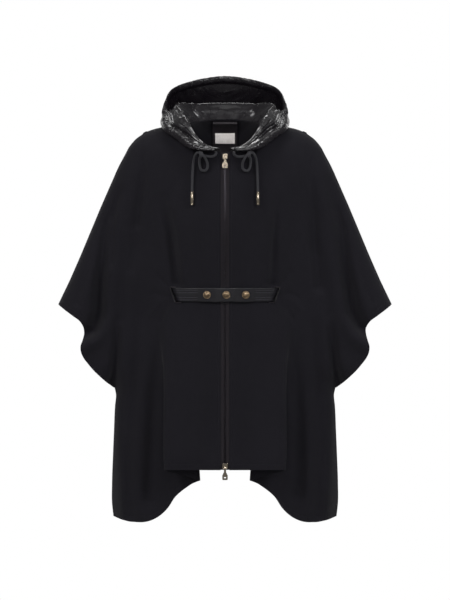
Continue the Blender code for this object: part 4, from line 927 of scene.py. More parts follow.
# The nylon's creases: path in place round the neck (minus on the left) and in the section from the
# neck seam to the rim, then how far it goes in, in metres, and over what width.
CREASES = (
    (((0.10, 0.62), (0.30, 0.66), (0.50, 0.60)), 0.0030, 0.0060),
    (((0.06, 0.80), (0.26, 0.84), (0.44, 0.76), (0.60, 0.80)), 0.0034, 0.0070),
    (((0.34, 0.90), (0.52, 0.88), (0.70, 0.93)), 0.0030, 0.0070),
    (((0.20, 0.12), (0.36, 0.15), (0.52, 0.10)), 0.0024, 0.0060),
    (((0.55, 0.06), (0.64, 0.13), (0.72, 0.20)), 0.0030, 0.0070),
    (((0.78, 0.04), (0.84, 0.11), (0.86, 0.19)), 0.0024, 0.0060),
    (((0.90, 0.36), (0.88, 0.60), (0.84, 0.84)), 0.0050, 0.0130),
    (((0.98, 0.40), (0.96, 0.66), (0.99, 0.90)), 0.0040, 0.0140),
    (((0.66, 0.50), (0.74, 0.66), (0.80, 0.80)), 0.0040, 0.0100),
    (((-0.08, 0.64), (-0.26, 0.60), (-0.48, 0.66)), 0.0030, 0.0060),
    (((-0.10, 0.78), (-0.30, 0.82), (-0.50, 0.86), (-0.64, 0.80)), 0.0034, 0.0070),
    (((-0.30, 0.92), (-0.46, 0.90), (-0.62, 0.94)), 0.0030, 0.0070),
    (((-0.24, 0.14), (-0.40, 0.10), (-0.54, 0.14)), 0.0026, 0.0060),
    (((-0.52, 0.08), (-0.62, 0.12), (-0.74, 0.19)), 0.0030, 0.0070),
    (((-0.80, 0.05), (-0.82, 0.12), (-0.88, 0.18)), 0.0022, 0.0060),
    (((-0.91, 0.38), (-0.86, 0.62), (-0.86, 0.86)), 0.0048, 0.0130),
    (((-0.70, 0.52), (-0.72, 0.68), (-0.82, 0.82)), 0.0042, 0.0110),
    (((0.70, 0.86), (0.80, 0.74), (0.92, 0.70), (0.99, 0.74)), 0.0036, 0.0080),
    (((0.72, 0.62), (0.84, 0.56), (0.95, 0.60)), 0.0034, 0.0075),
    (((0.93, 0.94), (0.90, 0.86), (0.93, 0.78)), 0.0030, 0.0060),
    (((0.82, 0.95), (0.79, 0.88), (0.74, 0.83)), 0.0030, 0.0060),
    (((-0.70, 0.80), (-0.84, 0.70), (-0.97, 0.76)), 0.0036, 0.0085),
    (((-0.76, 0.58), (-0.88, 0.62), (-0.99, 0.56)), 0.0034, 0.0080),
    (((-0.96, 0.95), (-0.93, 0.88), (-0.90, 0.80)), 0.0030, 0.0060),
    (((-0.84, 0.96), (-0.82, 0.88), (-0.77, 0.82)), 0.0028, 0.0060),
)
CREASE_DEEPER = 1.5        # all of them, against the depths above
# The crumple between them: size of its facets, and height.
RUMPLE_SIZES = ((0.030, 0.0026), (0.014, 0.0013), (0.0075, 0.0006))
LAPEL_SIZES = ((0.026, 0.0028), (0.012, 0.0004))


def neck_ring(places):
    """The neck seam's points round half the neck, from the zip to the centre back."""
    ends = []
    for table, panel in ((NECK_FRONT, "right"), (NECK_BACK, "back")):
        edge = spline(lengths(table), table, np.linspace(0.0, 1.0, 40))
        over, depth = (OVER_FRONT, FRONT_DEPTH) if panel == "right" else (OVER_BACK, BACK_DEPTH)
        y = stand_off(edge[:, 0], edge[:, 1], depth, over, ())
        ends.append(np.stack([edge[:, 0], -y if panel == "right" else y, edge[:, 1]], -1))
    front, back = ends
    ring = np.empty((len(places), 3))
    for axis in range(3):
        ahead = np.interp(places / NECK_RING_FRONT, lengths(front), front[:, axis])
        behind = np.interp((1 - places) / (1 - NECK_RING_FRONT), lengths(back), back[:, axis])
        ring[:, axis] = np.where(places < NECK_RING_FRONT, ahead, behind)
    ring[:, :2] -= unit(ring[:, :2]) * CLOTH * 0.4
    ring[:, 2] += 2 * GAP
    return ring


def guide(table, places):
    """A guide curve of the hood, carried on past the centre back so that it is smooth there."""
    place, x, y, z = table[-2]
    table = table + ((2 - place, -x, y, z),)
    return spline([row[0] for row in table], [row[1:] for row in table], places)


def rim_frame(places):
    """The casing's middle line and the way its width lies."""
    rim = guide(RIM, places)
    return rim, unit(rim - guide(WALL, places))


def hood_surface(places, section):
    """The hood's face: rows go up a section, columns go round the neck."""
    ring = neck_ring(places)
    crease, fall, belly, side = (guide(table, places) for table in (CREASE, FALL, BELLY, WALL))
    rim, along = rim_frame(places)
    edge = rim - along * (CASING_HALF - 0.0022)
    over = crease * 0.8 + fall * 0.2 + np.array([0.0, 0.0, 0.0015])
    lines = np.stack([ring, ring * 0.45 + crease * 0.55, crease, over, fall, belly, side, edge])
    keys = np.array([0.0, 0.10, 0.20, 0.24, 0.45, 0.66, 0.85, 1.0])
    flat = spline(keys, lines.reshape(len(keys), -1), section)
    return flat.reshape(len(section), len(places), 3)


def rumple(at, sizes):
    """Crushed cloth: flat facets between sharp ridges, of a few sizes. at holds u, v in metres."""
    total = np.zeros(at.shape[:-1])
    for number, (size, high) in enumerate(sizes):
        flat = at.reshape(-1, 2) / size
        values = np.empty(len(flat))
        for k, (u, v) in enumerate(flat):
            bend = noise.noise(Vector((u * 0.7, v * 0.7, 3.7 + number))) * 0.8
            near = noise.voronoi(Vector((u + bend, v - bend, 11.3 * number)))[0]
            values[k] = near[1] - near[0]
        total += (0.35 - np.minimum(values, 0.7)).reshape(total.shape) * high
    return total


def creases_at(place, section, scale):
    """How far the listed creases push the nylon in."""
    total = np.zeros(place.shape)
    for path, depth, width in CREASES:
        across, up = scale
        line = [(a * across, b * up) for a, b in path]
        far, along = distance(place * across, section * up, line)
        swell = np.sin(np.pi * np.clip(0.1 + 0.8 * along, 0.0, 1.0))
        total += CREASE_DEEPER * depth * swell * np.exp(-(far / width) ** 2)
    return total


HOOD_ROUND = 0.42          # metres of seam round half the hood, for its pattern
HOOD_UP = 0.30             # and metres from the neck seam to the rim behind
half_places = np.concatenate([np.linspace(0.0, CROWN_SEAM - SEAM_STEP, HOOD_SIDE_COLUMNS),
                              np.linspace(CROWN_SEAM, 1.0, HOOD_CENTRE_COLUMNS // 2 + 1)])
sections = finer((0.0, 0.10, 0.17, 0.20, 0.24, 0.33, 0.45, 0.55, 0.66, 0.75, 0.85, 0.93, 1.0), HOOD_ROWS)
half_face = hood_surface(half_places, sections)
whole_places = np.concatenate([-half_places, half_places[-2::-1]])
whole_face = np.concatenate([half_face * (-1.0, 1.0, 1.0), half_face[:, -2::-1]], axis=1)
row_length = map_of(whole_face)[..., 1]
round_at = np.concatenate([half_places, 2.0 - half_places[-2::-1]]) * HOOD_ROUND
whole_at = np.stack([np.broadcast_to(round_at, row_length.shape), row_length], -1)
from_zip = np.abs(whole_places)
# Near its edges the nylon lies flatter.
still = (ramp(sections, 0.0, 0.05) * np.maximum(1 - ramp(sections, 0.95, 1.0), 0.2))[:, None]
still = still * np.maximum(ramp(from_zip, 0.01, 0.07), 0.3)[None, :]
# The lapels' layers lie close on each other and the stand is drawn flat, so they are crushed less.
close = 0.65 + 0.35 * ramp(from_zip, 0.25, 0.60)
flat_stand = ramp(from_zip, 0.50, 0.62)[None, :] * (1 - ramp(sections, 0.20, 0.26))[:, None]
height = rumple(whole_at * (0.42, 1.0) + (3.0, 0.0), RUMPLE_SIZES) * (1.0 - 0.75 * flat_stand)
# Down the lapels the folds are longer and run beside the edge.
lapel = (1 - ramp(from_zip, 0.56, 0.66))[None, :]
height = height * (1.0 - lapel) + lapel * rumple(whole_at * (0.26, 1.0) + (5.0, 0.0), LAPEL_SIZES)
# The bag is crushed more.
BAG_MORE = 0.8
bag = ramp(from_zip, 0.60, 0.75)[None, :] * ramp(sections, 0.35, 0.50)[:, None]
height *= 1.0 + BAG_MORE * bag
height -= creases_at(whole_places[None, :] + 0 * row_length, sections[:, None] + 0 * row_length,
                     (HOOD_ROUND, HOOD_UP))
# The seams between the side panels and the centre panel lie in a groove with a ridge on each side.
SEAM_RIDGE, RIDGE_FAR, RIDGE_WIDE = 0.0008, 0.0034, 0.0016
SEAM_GROOVE, GROOVE_WIDE = 0.0010, 0.0012
to_seam = (np.abs(from_zip - CROWN_SEAM) * HOOD_ROUND)[None, :]
height = height * (1.0 - 0.6 * np.exp(-((to_seam / 0.006) ** 2)))
height += SEAM_RIDGE * np.exp(-(((to_seam - RIDGE_FAR) / RIDGE_WIDE) ** 2))
height -= SEAM_GROOVE * np.exp(-((to_seam / GROOVE_WIDE) ** 2))
whole_face = whole_face + normals(whole_face) * (height * still * close[None, :])[..., None]
crushed = (1.0 - 0.7 * flat_stand) * (1.0 - 0.68 * lapel)
whole_under = inside_of(whole_face, NYLON)

# The shine and the fine crush of the nylon.
crush, into, out = group("crushed nylon", {"Size": 0.008, "Stretch": 0.55}, "Height")
cloth_map = node_of(crush, "ShaderNodeUVMap", {}, uv_map="cloth map")
squeeze = node_of(crush, "ShaderNodeCombineXYZ", {"X": into.outputs["Stretch"], "Y": 1.0, "Z": 1.0})
drawn = node_of(crush, "ShaderNodeVectorMath", {0: cloth_map.outputs[0], 1: squeeze.outputs[0]},
                operation="MULTIPLY")
scale_up = math_node(crush, "DIVIDE", 1.0, into.outputs["Size"])
wander = node_of(crush, "ShaderNodeTexNoise", {"Vector": drawn.outputs[0], "Scale": scale_up, "Detail": 2.0})
shifted = node_of(crush, "ShaderNodeVectorMath", {0: wander.outputs["Color"], 1: (0.006, 0.006, 0.0),
                                                  2: drawn.outputs[0]}, operation="MULTIPLY_ADD")
ridges = 0.0
for finer_by, share in ((1.0, 1.0), (2.7, 0.35)):
    finer_scale = math_node(crush, "MULTIPLY", scale_up, finer_by)
    facets = node_of(crush, "ShaderNodeTexVoronoi", {"Vector": shifted.outputs[0], "Scale": finer_scale},
                     feature="DISTANCE_TO_EDGE")
    ridge = math_node(crush, "MINIMUM", facets.outputs["Distance"], 0.35)
    ridges = math_node(crush, "MULTIPLY_ADD", ridge, share, ridges)
crush.links.new(math_node(crush, "MULTIPLY", ridges, -1.0), out.inputs["Height"])


def nylon_finish(name, size, stretch, depth, roughness=0.26, coat=1.0, uneven=False,
                 colour=NYLON_BLACK):
    """Lacquered nylon. Uneven: crushed as much as the piece's own mark says."""
    made, tree, shader = finish_of(name, colour, roughness, Coat_Weight=coat,
                                   Coat_Roughness=0.05, Specular_IOR_Level=0.5)
    tinted(tree, shader, colour, 0.03, 0.85, 1.2)
    worn(tree, shader, 0.012, roughness * 0.8, roughness * 1.5)
    relief = placed(tree, crush, Size=size, Stretch=stretch).outputs["Height"]
    if uneven:
        relief = math_node(tree, "MULTIPLY", relief, mark_node(tree, "crush"))
    raised(tree, shader, relief, depth)
    return made


nylon = nylon_finish("lacquered black nylon", 0.0095, 0.45, 0.0010, uneven=True)
welt_nylon = nylon_finish("black nylon welt", 0.0085, 0.55, 0.0004, 0.42, 0.25)
# The panels: name, columns of the whole face, and the size and area of the cut.
SIDE_CUT, SIDE_AREA = (0.300, 0.200), 0.0206
right_start = whole_face.shape[1] - HOOD_SIDE_COLUMNS
hood_parts = (("left", slice(0, HOOD_SIDE_COLUMNS), SIDE_CUT, SIDE_AREA),
              ("centre", slice(HOOD_SIDE_COLUMNS - 1, right_start + 1), (0.310, 0.404), 0.0812),
              ("right", slice(right_start, None), SIDE_CUT, SIDE_AREA))
for part_name, part_columns, flat_size, flat_area in hood_parts:
    panel = sheet_of(f"hood_cloth_{part_name}", whole_face[:, part_columns], whole_under[:, part_columns],
                     nylon, {"crush": np.array(crushed[:, part_columns])}, 60.0, whole_at[:, part_columns])
    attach(panel, "garment")
    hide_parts(f"hood_{part_name}")

# The drawcord's casing: nylon folded over the hood's rim and stitched, gathered along the cord in it.
CASING_ALONG, CASING_ROUND = 820, 28
CASING_WALL = 0.0008
CASING_CLOTH = 0.0068      # metres of cloth to a radian round the casing
GATHER = 0.0072            # the usual length of a gather
GATHER_HIGH, GATHER_FINE = 0.0008, 0.0001
GATHER_SLANT = 0.0035      # how far a gather leans along the casing
STITCH_DENT = 0.0014       # how deep the casing's stitch line lies
casing_places = np.linspace(CASING_START, 2.0 - CASING_START, CASING_ALONG)
folded_places = np.where(casing_places <= 1.0, casing_places, 2.0 - casing_places)
rim, along = rim_frame(folded_places)
left_half = casing_places <= 1.0
flip = np.where(left_half, -1.0, 1.0)[:, None] * np.array([[1.0, 0.0, 0.0]]) + np.array([[0.0, 1.0, 1.0]])
rim, along = rim * flip, along * flip
forward = unit(np.gradient(rim, axis=0))
outward = unit(np.cross(along, forward))
casing_run = run_of(rim)
angles = angles_round(CASING_ROUND)
gathers = np.empty((CASING_ALONG, CASING_ROUND))
for k, run_at in enumerate(casing_run):
    slow = noise.noise(Vector((run_at / 0.030, 0.0, 5.0)))
    for j, angle in enumerate(angles):
        slant = GATHER_SLANT * math.sin(angle + 2.2 * slow)
        u = (run_at + slant) / GATHER
        wave = noise.noise(Vector((u, math.cos(angle) * 0.7, math.sin(angle) * 0.7)))
        fine = noise.noise(Vector((u * 2.6, math.cos(angle) * 1.6 + 9.0, math.sin(angle) * 1.6)))
        gathers[k, j] = (1 - 2 * abs(wave)) * GATHER_HIGH + (1 - 2 * abs(fine)) * GATHER_FINE
fade = ramp(np.minimum(casing_run, casing_run[-1] - casing_run), 0.0, 0.010)
plump = 1.0 - 0.25 * (1 - fade) ** 2
# The stitch line that holds the casing's folded edge down.
seam_dent = STITCH_DENT * np.exp(-((np.cos(angles) + 0.72) / 0.12) ** 2)
reach = (gathers - 0.0004) * (0.3 + 0.7 * fade[:, None]) - seam_dent[None, :]
casing_rings = (rim[:, None] + along[:, None] * (CASING_HALF * np.cos(angles)[None, :, None])
                * plump[:, None, None]
                + outward[:, None] * (CASING_THICK * np.sin(angles)[None, :, None]) * plump[:, None, None])
spoke = unit(casing_rings - rim[:, None])
casing_rings = casing_rings + spoke * reach[..., None]
casing_uv = np.stack([np.broadcast_to(casing_run[:, None], gathers.shape),
                      np.broadcast_to(angles[None, :] * CASING_CLOTH, gathers.shape)], -1)
casing_nylon = nylon_finish("gathered black nylon", 0.0060, 1.2, 0.0005, 0.26, 0.45)
# The casing is open at both ends, where the cord comes out, so its nylon shows its thickness there.
tube_faces = loft_faces(CASING_ALONG, CASING_ROUND, closed=False)
shift = CASING_ALONG * CASING_ROUND
tube_faces += [tuple(index + shift for index in face[::-1]) for face in tube_faces]
for j in range(CASING_ROUND):
    a, b = j, (j + 1) % CASING_ROUND
    tube_faces.append((b, a, a + shift, b + shift))
    a, b = shift - CASING_ROUND + a, shift - CASING_ROUND + b
    tube_faces.append((a, b, b + shift, a + shift))
casing_walls = np.concatenate([casing_rings, casing_rings - spoke * CASING_WALL])
casing = piece_of("hood_rim_casing", casing_walls, tube_faces, casing_nylon,
                  np.concatenate([casing_uv, casing_uv]), smooth=70.0)
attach(casing, "garment")
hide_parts("hood_casing")

# Inside the back neck: a satin nylon strip down from the neck seam, a hanger loop at its top, and a
# bare cream label sewn on it by its edges.
cad_back = faces_of(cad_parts["back"])

SATIN_BLACK = (0.0155, 0.0130, 0.0160)
CREAM = (0.93, 0.88, 0.86)
satin = nylon_finish("satin black nylon", 0.016, 1.0, 0.0008, 0.34, 0.25, colour=SATIN_BLACK)
STRIP_HALF, STRIP_TOP, STRIP_BOTTOM, STRIP_THICK = 0.0285, 0.0485, -0.0480, 0.0009
strip_z, strip_x = np.meshgrid(np.linspace(STRIP_TOP, STRIP_BOTTOM, 60),
                               np.linspace(-STRIP_HALF, STRIP_HALF, 30), indexing="ij")
strip_waves = (0.0007 + 0.0005 * np.sin(70 * strip_x + 160 * strip_z)
               + 0.0004 * np.sin(210 * strip_x - 90 * strip_z + 1.0))
strip_y = met(cad_back, strip_x, strip_z, 0.0, 1.0) - 0.0009 - strip_waves
neck_strip = sheet_of("neck_facing_strip", np.stack([strip_x, strip_y - STRIP_THICK, strip_z], -1),
                      np.stack([strip_x, strip_y, strip_z], -1), satin)
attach(neck_strip, "garment")
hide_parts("neck_strip")

cream, tree, shader = finish_of("cream satin label", CREAM, 0.55, Sheen_Weight=0.2)
label_weave = placed(tree, twill, Pitch=0.0007, Slant=-1.0).outputs["Height"]
label_edge = placed(tree, stitching, Far=mark_node(tree, "hem"), Run=mark_node(tree, "run"), At=0.0016,
                    Half_Width=0.0004, Stitch=0.0022)
# The weave's height tints the label slightly: painted shade in its low lines; the edge threads are darker.
shade = math_node(tree, "MULTIPLY_ADD", label_weave, 0.03, 1.0)
shade = math_node(tree, "MULTIPLY_ADD", label_edge.outputs["Thread"], -0.22, shade)
tinted(tree, shader, CREAM, 0.01, 0.95, 1.03, shade)
relief = math_node(tree, "MULTIPLY_ADD", label_edge.outputs["Groove"], -3.0, label_weave)
raised(tree, shader, relief, 0.00005)

LABEL_HALF, LABEL_TOP, LABEL_BOTTOM = 0.0225, 0.0235, 0.0005
LABEL_LIFT, LABEL_THICK, LABEL_PUFF = 0.0032, 0.0005, 0.0006
label_z, label_x = np.meshgrid(np.linspace(LABEL_TOP, LABEL_BOTTOM, 24),
                               np.linspace(-LABEL_HALF, LABEL_HALF, 40), indexing="ij")
label_y = met(cad_back, label_x, label_z, 0.0, 1.0) - LABEL_LIFT
from_edge = np.minimum(np.minimum(LABEL_TOP - label_z, label_z - LABEL_BOTTOM),
                       LABEL_HALF - np.abs(label_x))
label_y = label_y - LABEL_PUFF * ramp(from_edge, 0.0, 0.004)     # it lies down at its sewn edges
label_out = np.stack([label_x, label_y - LABEL_THICK, label_z], -1)
label_in = np.stack([label_x, label_y, label_z], -1)
label = sheet_of("bare_label", label_out, label_in, cream, {"hem": from_edge, "run": label_x + label_z})
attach(label, "garment")
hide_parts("label")

# The hanger loop: a rolled bar of nylon over the strip's top, bowed out in the middle.
LOOP_HALF, LOOP_Z, LOOP_TALL, LOOP_THICK, LOOP_LIFT = 0.0270, 0.0440, 0.0031, 0.0013, 0.0046
LOOP_BOW, LOOP_END = 0.0012, 0.0011    # how far its middle bows out, and its ends go back in
loop_x = np.linspace(-LOOP_HALF, LOOP_HALF, 60)
loop_y = met(cad_back, loop_x, np.full(60, LOOP_Z), 0.0, 1.0) - LOOP_LIFT
loop_y = loop_y - LOOP_BOW * np.sin(np.pi * (loop_x / LOOP_HALF + 1) / 2)
loop_y = loop_y + LOOP_END * ramp(np.abs(loop_x) / LOOP_HALF, 0.86, 1.0)
loop_angles = angles_round(16)
loop_rings = [np.stack([np.full(16, x), y + LOOP_THICK * np.sin(loop_angles),
                        LOOP_Z + 0.0006 * math.cos(60 * x) + LOOP_TALL * np.cos(loop_angles)], -1)
              for x, y in zip(loop_x, loop_y)]
loop_uv = [[(x, 0.002 * angle) for angle in loop_angles] for x in loop_x]
loop = piece_of("hanging_loop", loop_rings, loft_faces(60, 16), satin, loop_uv)
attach(loop, "garment")
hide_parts("hanger_loop")

# The zip: a woven tape behind each front's edge, two rows of small dark metal teeth, and at each end a
# light gold slider with its pull.
TAPE_WIDTH = 0.018
TAPE_THICK = 0.001
ZIP_TOP, ZIP_BOTTOM = -0.0365, -0.7295
TOOTH_PITCH = 0.0022
TOOTH_HALF = (0.0017, 0.0009)  # half its length across the zip, and half its height
TOOTH_REACH = 0.00085          # how far a tooth's middle lies from the zip's middle
# A tooth's section, from the tape outwards: how far behind the tape's face, and its share of full size.
TOOTH_SECTION = ((0.0002, 1.0), (-0.0012, 1.0), (-0.0016, 0.72))
TEETH_TOP, TEETH_BOTTOM = -0.0530, -0.7150
TAPE_REACH = 0.012         # how far above and below a row the tape keeps off the cloth
TAPE_ROWS = 25
TAPE_BLACK = (0.0115, 0.0090, 0.0120)
TEETH_GREY = (0.055, 0.050, 0.057)

tape_rows = np.linspace(ZIP_TOP, ZIP_BOTTOM, TAPE_ROWS)


def tape_face(x):
    """The front face of a tape, at each of its rows."""
    seats = [met(cad_front, np.full(TAPE_ROWS, max(x, ZIP_HALF + 0.0002)),
                 np.clip(tape_rows + step, ZIP_BOTTOM, ZIP_TOP), 0.0, -1.0)
             for step in (-TAPE_REACH, 0.0, TAPE_REACH)]
    return np.max(seats, axis=0) + 2 * GAP


tape_cloth, tree, shader = finish_of("black zip tape", TAPE_BLACK, 0.7, Sheen_Weight=0.1)
tape_weave = placed(tree, twill, Pitch=0.0012, Slant=0.0).outputs["Height"]
# The weave's height also tints the tape: painted shade, darker in the weave's low lines.
tinted(tree, shader, TAPE_BLACK, 0.02, 0.92, 1.1,
       math_node(tree, "MULTIPLY_ADD", tape_weave, 0.12, 1.0))
raised(tree, shader, tape_weave, 0.00012)

tape_columns = (GAP / 2, ZIP_HALF, TAPE_WIDTH)
coarse_y = np.stack([tape_face(x) for x in tape_columns], axis=1)
fine_z = np.linspace(ZIP_TOP, ZIP_BOTTOM, 120)
fine_x = np.linspace(GAP / 2, TAPE_WIDTH, 10)
tape_y = np.stack([np.interp(-fine_z, -tape_rows, column) for column in coarse_y.T], -1)
tape_grid = np.stack([np.broadcast_to(fine_x, (120, 10)),
                      np.array([np.interp(fine_x, tape_columns, row) for row in tape_y]),
                      np.broadcast_to(fine_z[:, None], (120, 10))], -1)
for side_name, side in (("right", 1), ("left", -1)):
    flip = np.array([side, 1.0, 1.0])
    zip_side = sheet_of(f"zip_cloth_{side_name}", tape_grid * flip,
                        (tape_grid + (0.0, TAPE_THICK, 0.0)) * flip, tape_cloth)
    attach(zip_side, "garment")
    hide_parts(f"zip_tape_{side_name}")

teeth_metal, tree, shader = finish_of("dark zip teeth", TEETH_GREY, 0.40, Metallic=1.0)
# The teeth's colour is painted lighter towards the top, up to 2.6 times above z -0.13 and fading out by
# -0.19: a painted highlight on the upper teeth.
space = node_of(tree, "ShaderNodeTexCoord", {})
parts = node_of(tree, "ShaderNodeSeparateXYZ", {0: space.outputs["Object"]})
GLINT_FROM, GLINT_FULL, GLINT_LIGHTER = -0.19, -0.13, 2.6
painted_glint = node_of(tree, "ShaderNodeMapRange", {"Value": parts.outputs["Z"],
                                              "From Min": GLINT_FROM, "From Max": GLINT_FULL,
                                              "To Min": 1.0, "To Max": GLINT_LIGHTER})
tinted(tree, shader, TEETH_GREY, 0.004, 0.85, 1.15, painted_glint.outputs[0])
tooth_points, tooth_faces = [], []
tooth_z = np.arange(TEETH_TOP, TEETH_BOTTOM, -TOOTH_PITCH)
tooth_seat = np.interp(-tooth_z, -tape_rows, coarse_y[:, 0])
TOOTH_OUTLINE = ((-1.0, -0.55), (-0.55, -1.0), (0.75, -1.0), (1.0, -0.4), (1.0, 0.4), (0.75, 1.0),
                 (-0.55, 1.0), (-1.0, 0.55))
tooth_loft = loft_faces(len(TOOTH_SECTION), len(TOOTH_OUTLINE))
for number, (z, seat) in enumerate(zip(tooth_z, tooth_seat)):
    side = 1 if number % 2 else -1
    for down in (0.0, -0.5 * TOOTH_PITCH):
        side = -side
        first = len(tooth_points)
        for depth, share in TOOTH_SECTION:
            for x, up in TOOTH_OUTLINE:
                tooth_points.append((side * (TOOTH_REACH - TOOTH_HALF[0] * share * x), seat + depth,
                                     z + down + TOOTH_HALF[1] * share * up))
        tooth_faces += [tuple(index + first for index in face) for face in tooth_loft]
teeth = piece_of("zip_teeth", tooth_points, tooth_faces, teeth_metal, smooth=30.0)
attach(teeth, "garment")

# The sliders and pulls are the CAD's own, in light gold.
for node_name in ("zip_slider_top", "zip_slider_bottom", "zip_pull_top", "zip_pull_bottom"):
    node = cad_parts[node_name]
    node.data.materials.clear()
    node.data.materials.append(gilt)

# The belt: one strap of stitched black belting through both slots and round the back inside, and a tab
# over its two ends, held by three bronze snaps.
BELT_HEIGHT = 0.030
BELT_THICK = 0.0022
BELT_LIFT = 0.0006         # how far the strap stays off the cloth
BELT_STEP = 0.0022
STRAP_END = 0.0015
SLOT_SLOPE = 2.4           # how steeply the strap goes in through a slot
TAB_HALF = 0.063
TAB_SHIFT = 0.003          # the tab and its snaps sit a little to one side of the zip
BELT_BLACK = (0.0078, 0.0074, 0.0094)
BELT_ROUND = 0.0026        # how far the belt's outer face rounds off at its edges
BRONZE = (0.47, 0.340, 0.215)
SNAP_STEP = 0.0425
SNAP_RADIUS = 0.0085
BELT_INSIDE = ((0.1420, -0.0620), (0.1530, -0.0200), (0.1500, 0.0250), (0.1300, 0.0660),
               (0.0950, 0.0920), (0.0500, 0.1040), (0.0000, 0.1080))
STITCH_ROWS = (-0.0105, -0.0052, 0.0052, 0.0105)


def belt_front(side, side_name, x, lean):
    """The cloth against which the belt lies, level over its height."""
    heights = np.linspace(-0.5, 0.5, 7) * BELT_HEIGHT
    places = [met(cloth_pieces[side_name], side * (x + lean * SLOT_LEAN * height + step), BELT_Z + height,
                  -1.0, 1.0) for height in heights for step in (-0.004, 0.0, 0.004)]
    return float(np.min(places))


def belt_path(side, side_name):
    """The strap's middle line on one side, as x, y, and how much it leans with the slot."""
    line = []
    for x, lean in ((0.0, 0.0), (0.02, 0.0), (0.04, 0.0), (0.055, 0.0), (0.070, 0.0), (0.082, 0.1),
                    (0.091, 0.4), (0.098, 0.8), (0.1035, 1.0)):
        near = belt_front(side, side_name, max(x, ZIP_HALF + 0.0045), lean)
        line.append((x, near - BELT_LIFT - BELT_THICK / 2, lean))
    level = float(met(cloth_pieces[side_name], side * SLOT_X, BELT_Z, -1.0, 1.0)) + CLOTH / 2
    for offset in (-0.0022, 0.0010, 0.0045):
        line.append((SLOT_X + offset, level + offset * SLOT_SLOPE, 1.0))
    line += [(SLOT_X + 0.0110, level + 0.0150, 0.8), (SLOT_X + 0.0200, level + 0.0220, 0.4)]
    return np.array(line + [(x, y, 0.0) for x, y in BELT_INSIDE])


def band(name, line, height, coat, wavy=None):
    """A flat padded band on edge along a line of x, y and lean, with rounded edges."""
    flat = np.concatenate([line[:, :2], np.zeros((len(line), 1))], axis=1)
    way = unit(np.gradient(flat, axis=0))
    across = np.stack([-way[:, 1], way[:, 0], np.zeros(len(line))], -1)
    run = run_of(flat)
    thick = BELT_THICK
    steps = np.linspace(0.0, np.pi, 11)
    bend = [thick / 2 if a < np.pi / 2 else BELT_ROUND for a in steps]
    top = [(0.5 * height - r + r * math.sin(a), thick / 2 * math.cos(a)) for a, r in zip(steps, bend)]
    flat_half = 0.5 * height - 1.2 * BELT_ROUND
    down = [(z, -thick / 2) for z in np.linspace(flat_half, -flat_half, 22)]
    low = [(-z, y) for z, y in top[::-1]]
    back_up = [(z, thick / 2) for z in np.linspace(-0.5 * height + thick, 0.5 * height - thick, 8)]
    outline = np.array(top + down + low + back_up)
    rings, uv = [], []
    for k in range(len(line)):
        z = outline[:, 0].copy()
        if wavy is not None:
            z = np.where(z < 0, z + wavy(run[k]), z)
        ring = flat[k] + across[k] * outline[:, 1:2]
        ring[:, 2] = BELT_Z + z
        ring[:, 0] += line[k, 2] * SLOT_LEAN * z
        rings.append(ring)
        uv.append(np.stack([np.full(len(outline), run[k]), outline[:, 0]], -1))
    marks = {"hem": np.array(uv)[..., 1], "run": np.array(uv)[..., 0]}
    return piece_of(name, rings, loft_faces(len(rings), len(outline)), coat, uv, marks, smooth=50.0)


def belting_finish(name, rows):
    """Black belting: fine cross ribs, and rows of stitching along it."""
    made, tree, shader = finish_of(name, BELT_BLACK, 0.50, Coat_Weight=0.7,
                                   Coat_Roughness=0.20, Specular_IOR_Level=0.3)
    ribs = placed(tree, twill, Pitch=0.0013, Slant=0.0).outputs["Height"]
    grooves, threads = 0.0, 0.0
    for at in rows:
        row = placed(tree, stitching, Far=mark_node(tree, "hem"), Run=mark_node(tree, "run"), At=at,
                     Half_Width=0.0009)
        grooves = math_node(tree, "ADD", row.outputs["Groove"], grooves)
        threads = math_node(tree, "ADD", row.outputs["Thread"], threads)
    relief = math_node(tree, "MULTIPLY", ribs, 0.00004)
    # The ribs' height tints the belting: painted shade in their low lines; the threads are a lighter colour.
    shade = math_node(tree, "MULTIPLY_ADD", ribs, 0.05, 1.0)
    if rows:
        relief = math_node(tree, "MULTIPLY_ADD", grooves, -0.0009, relief)
        relief = math_node(tree, "MULTIPLY_ADD", threads, 0.0005, relief)
        shade = math_node(tree, "MULTIPLY_ADD", threads, 4.5, shade)
    tinted(tree, shader, BELT_BLACK, 0.02, 0.9, 1.12, shade)
    worn(tree, shader, 0.01, 0.44, 0.58)
    raised(tree, shader, relief, 1.0)
    return made


def close_line(line):
    """A belt line's points, closer together."""
    keys = lengths(line[:, :2])
    count = int(run_of(line[:, :2])[-1] / BELT_STEP)
    return spline(keys, line, np.linspace(0.0, 1.0, count))


right, left = belt_path(1, "right"), belt_path(-1, "left")
right[0, 0] = TAB_SHIFT + STRAP_END
left[0, 0] = STRAP_END - TAB_SHIFT
left[:, [0, 2]] *= -1
whole = np.concatenate([right, left[-2::-1]])
stitched = belting_finish("stitched black belting", STITCH_ROWS)
plain = belting_finish("black belting", ())
belt = band("belt_band", close_line(whole), BELT_HEIGHT, stitched)
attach(belt, "garment")
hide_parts("belt_strap")

front_line = whole[(np.abs(whole[:, 0]) < SLOT_X - 0.004) & (whole[:, 1] < 0)]
front_line = front_line[np.argsort(front_line[:, 0])]
tab_x = np.linspace(TAB_SHIFT - TAB_HALF, TAB_SHIFT + TAB_HALF, 70)
tab_y = np.interp(tab_x, front_line[:, 0], front_line[:, 1]) - BELT_THICK - GAP


def tab_sag(run):
    """How the tab's lower edge waves."""
    return -0.0006 + 0.0005 * math.sin(run * 110) + 0.0003 * math.sin(run * 260 + 1)


tab = band("belt_snap_tab", np.stack([tab_x, tab_y, np.zeros(70)], -1), BELT_HEIGHT + 0.0006, plain, tab_sag)
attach(tab, "garment")
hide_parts("belt_tab")

bronze, tree, shader = finish_of("bronze snap", BRONZE, 0.34, Metallic=1.0)
tinted(tree, shader, BRONZE, 0.005, 0.85, 1.1)
worn(tree, shader, 0.006, 0.28, 0.40)

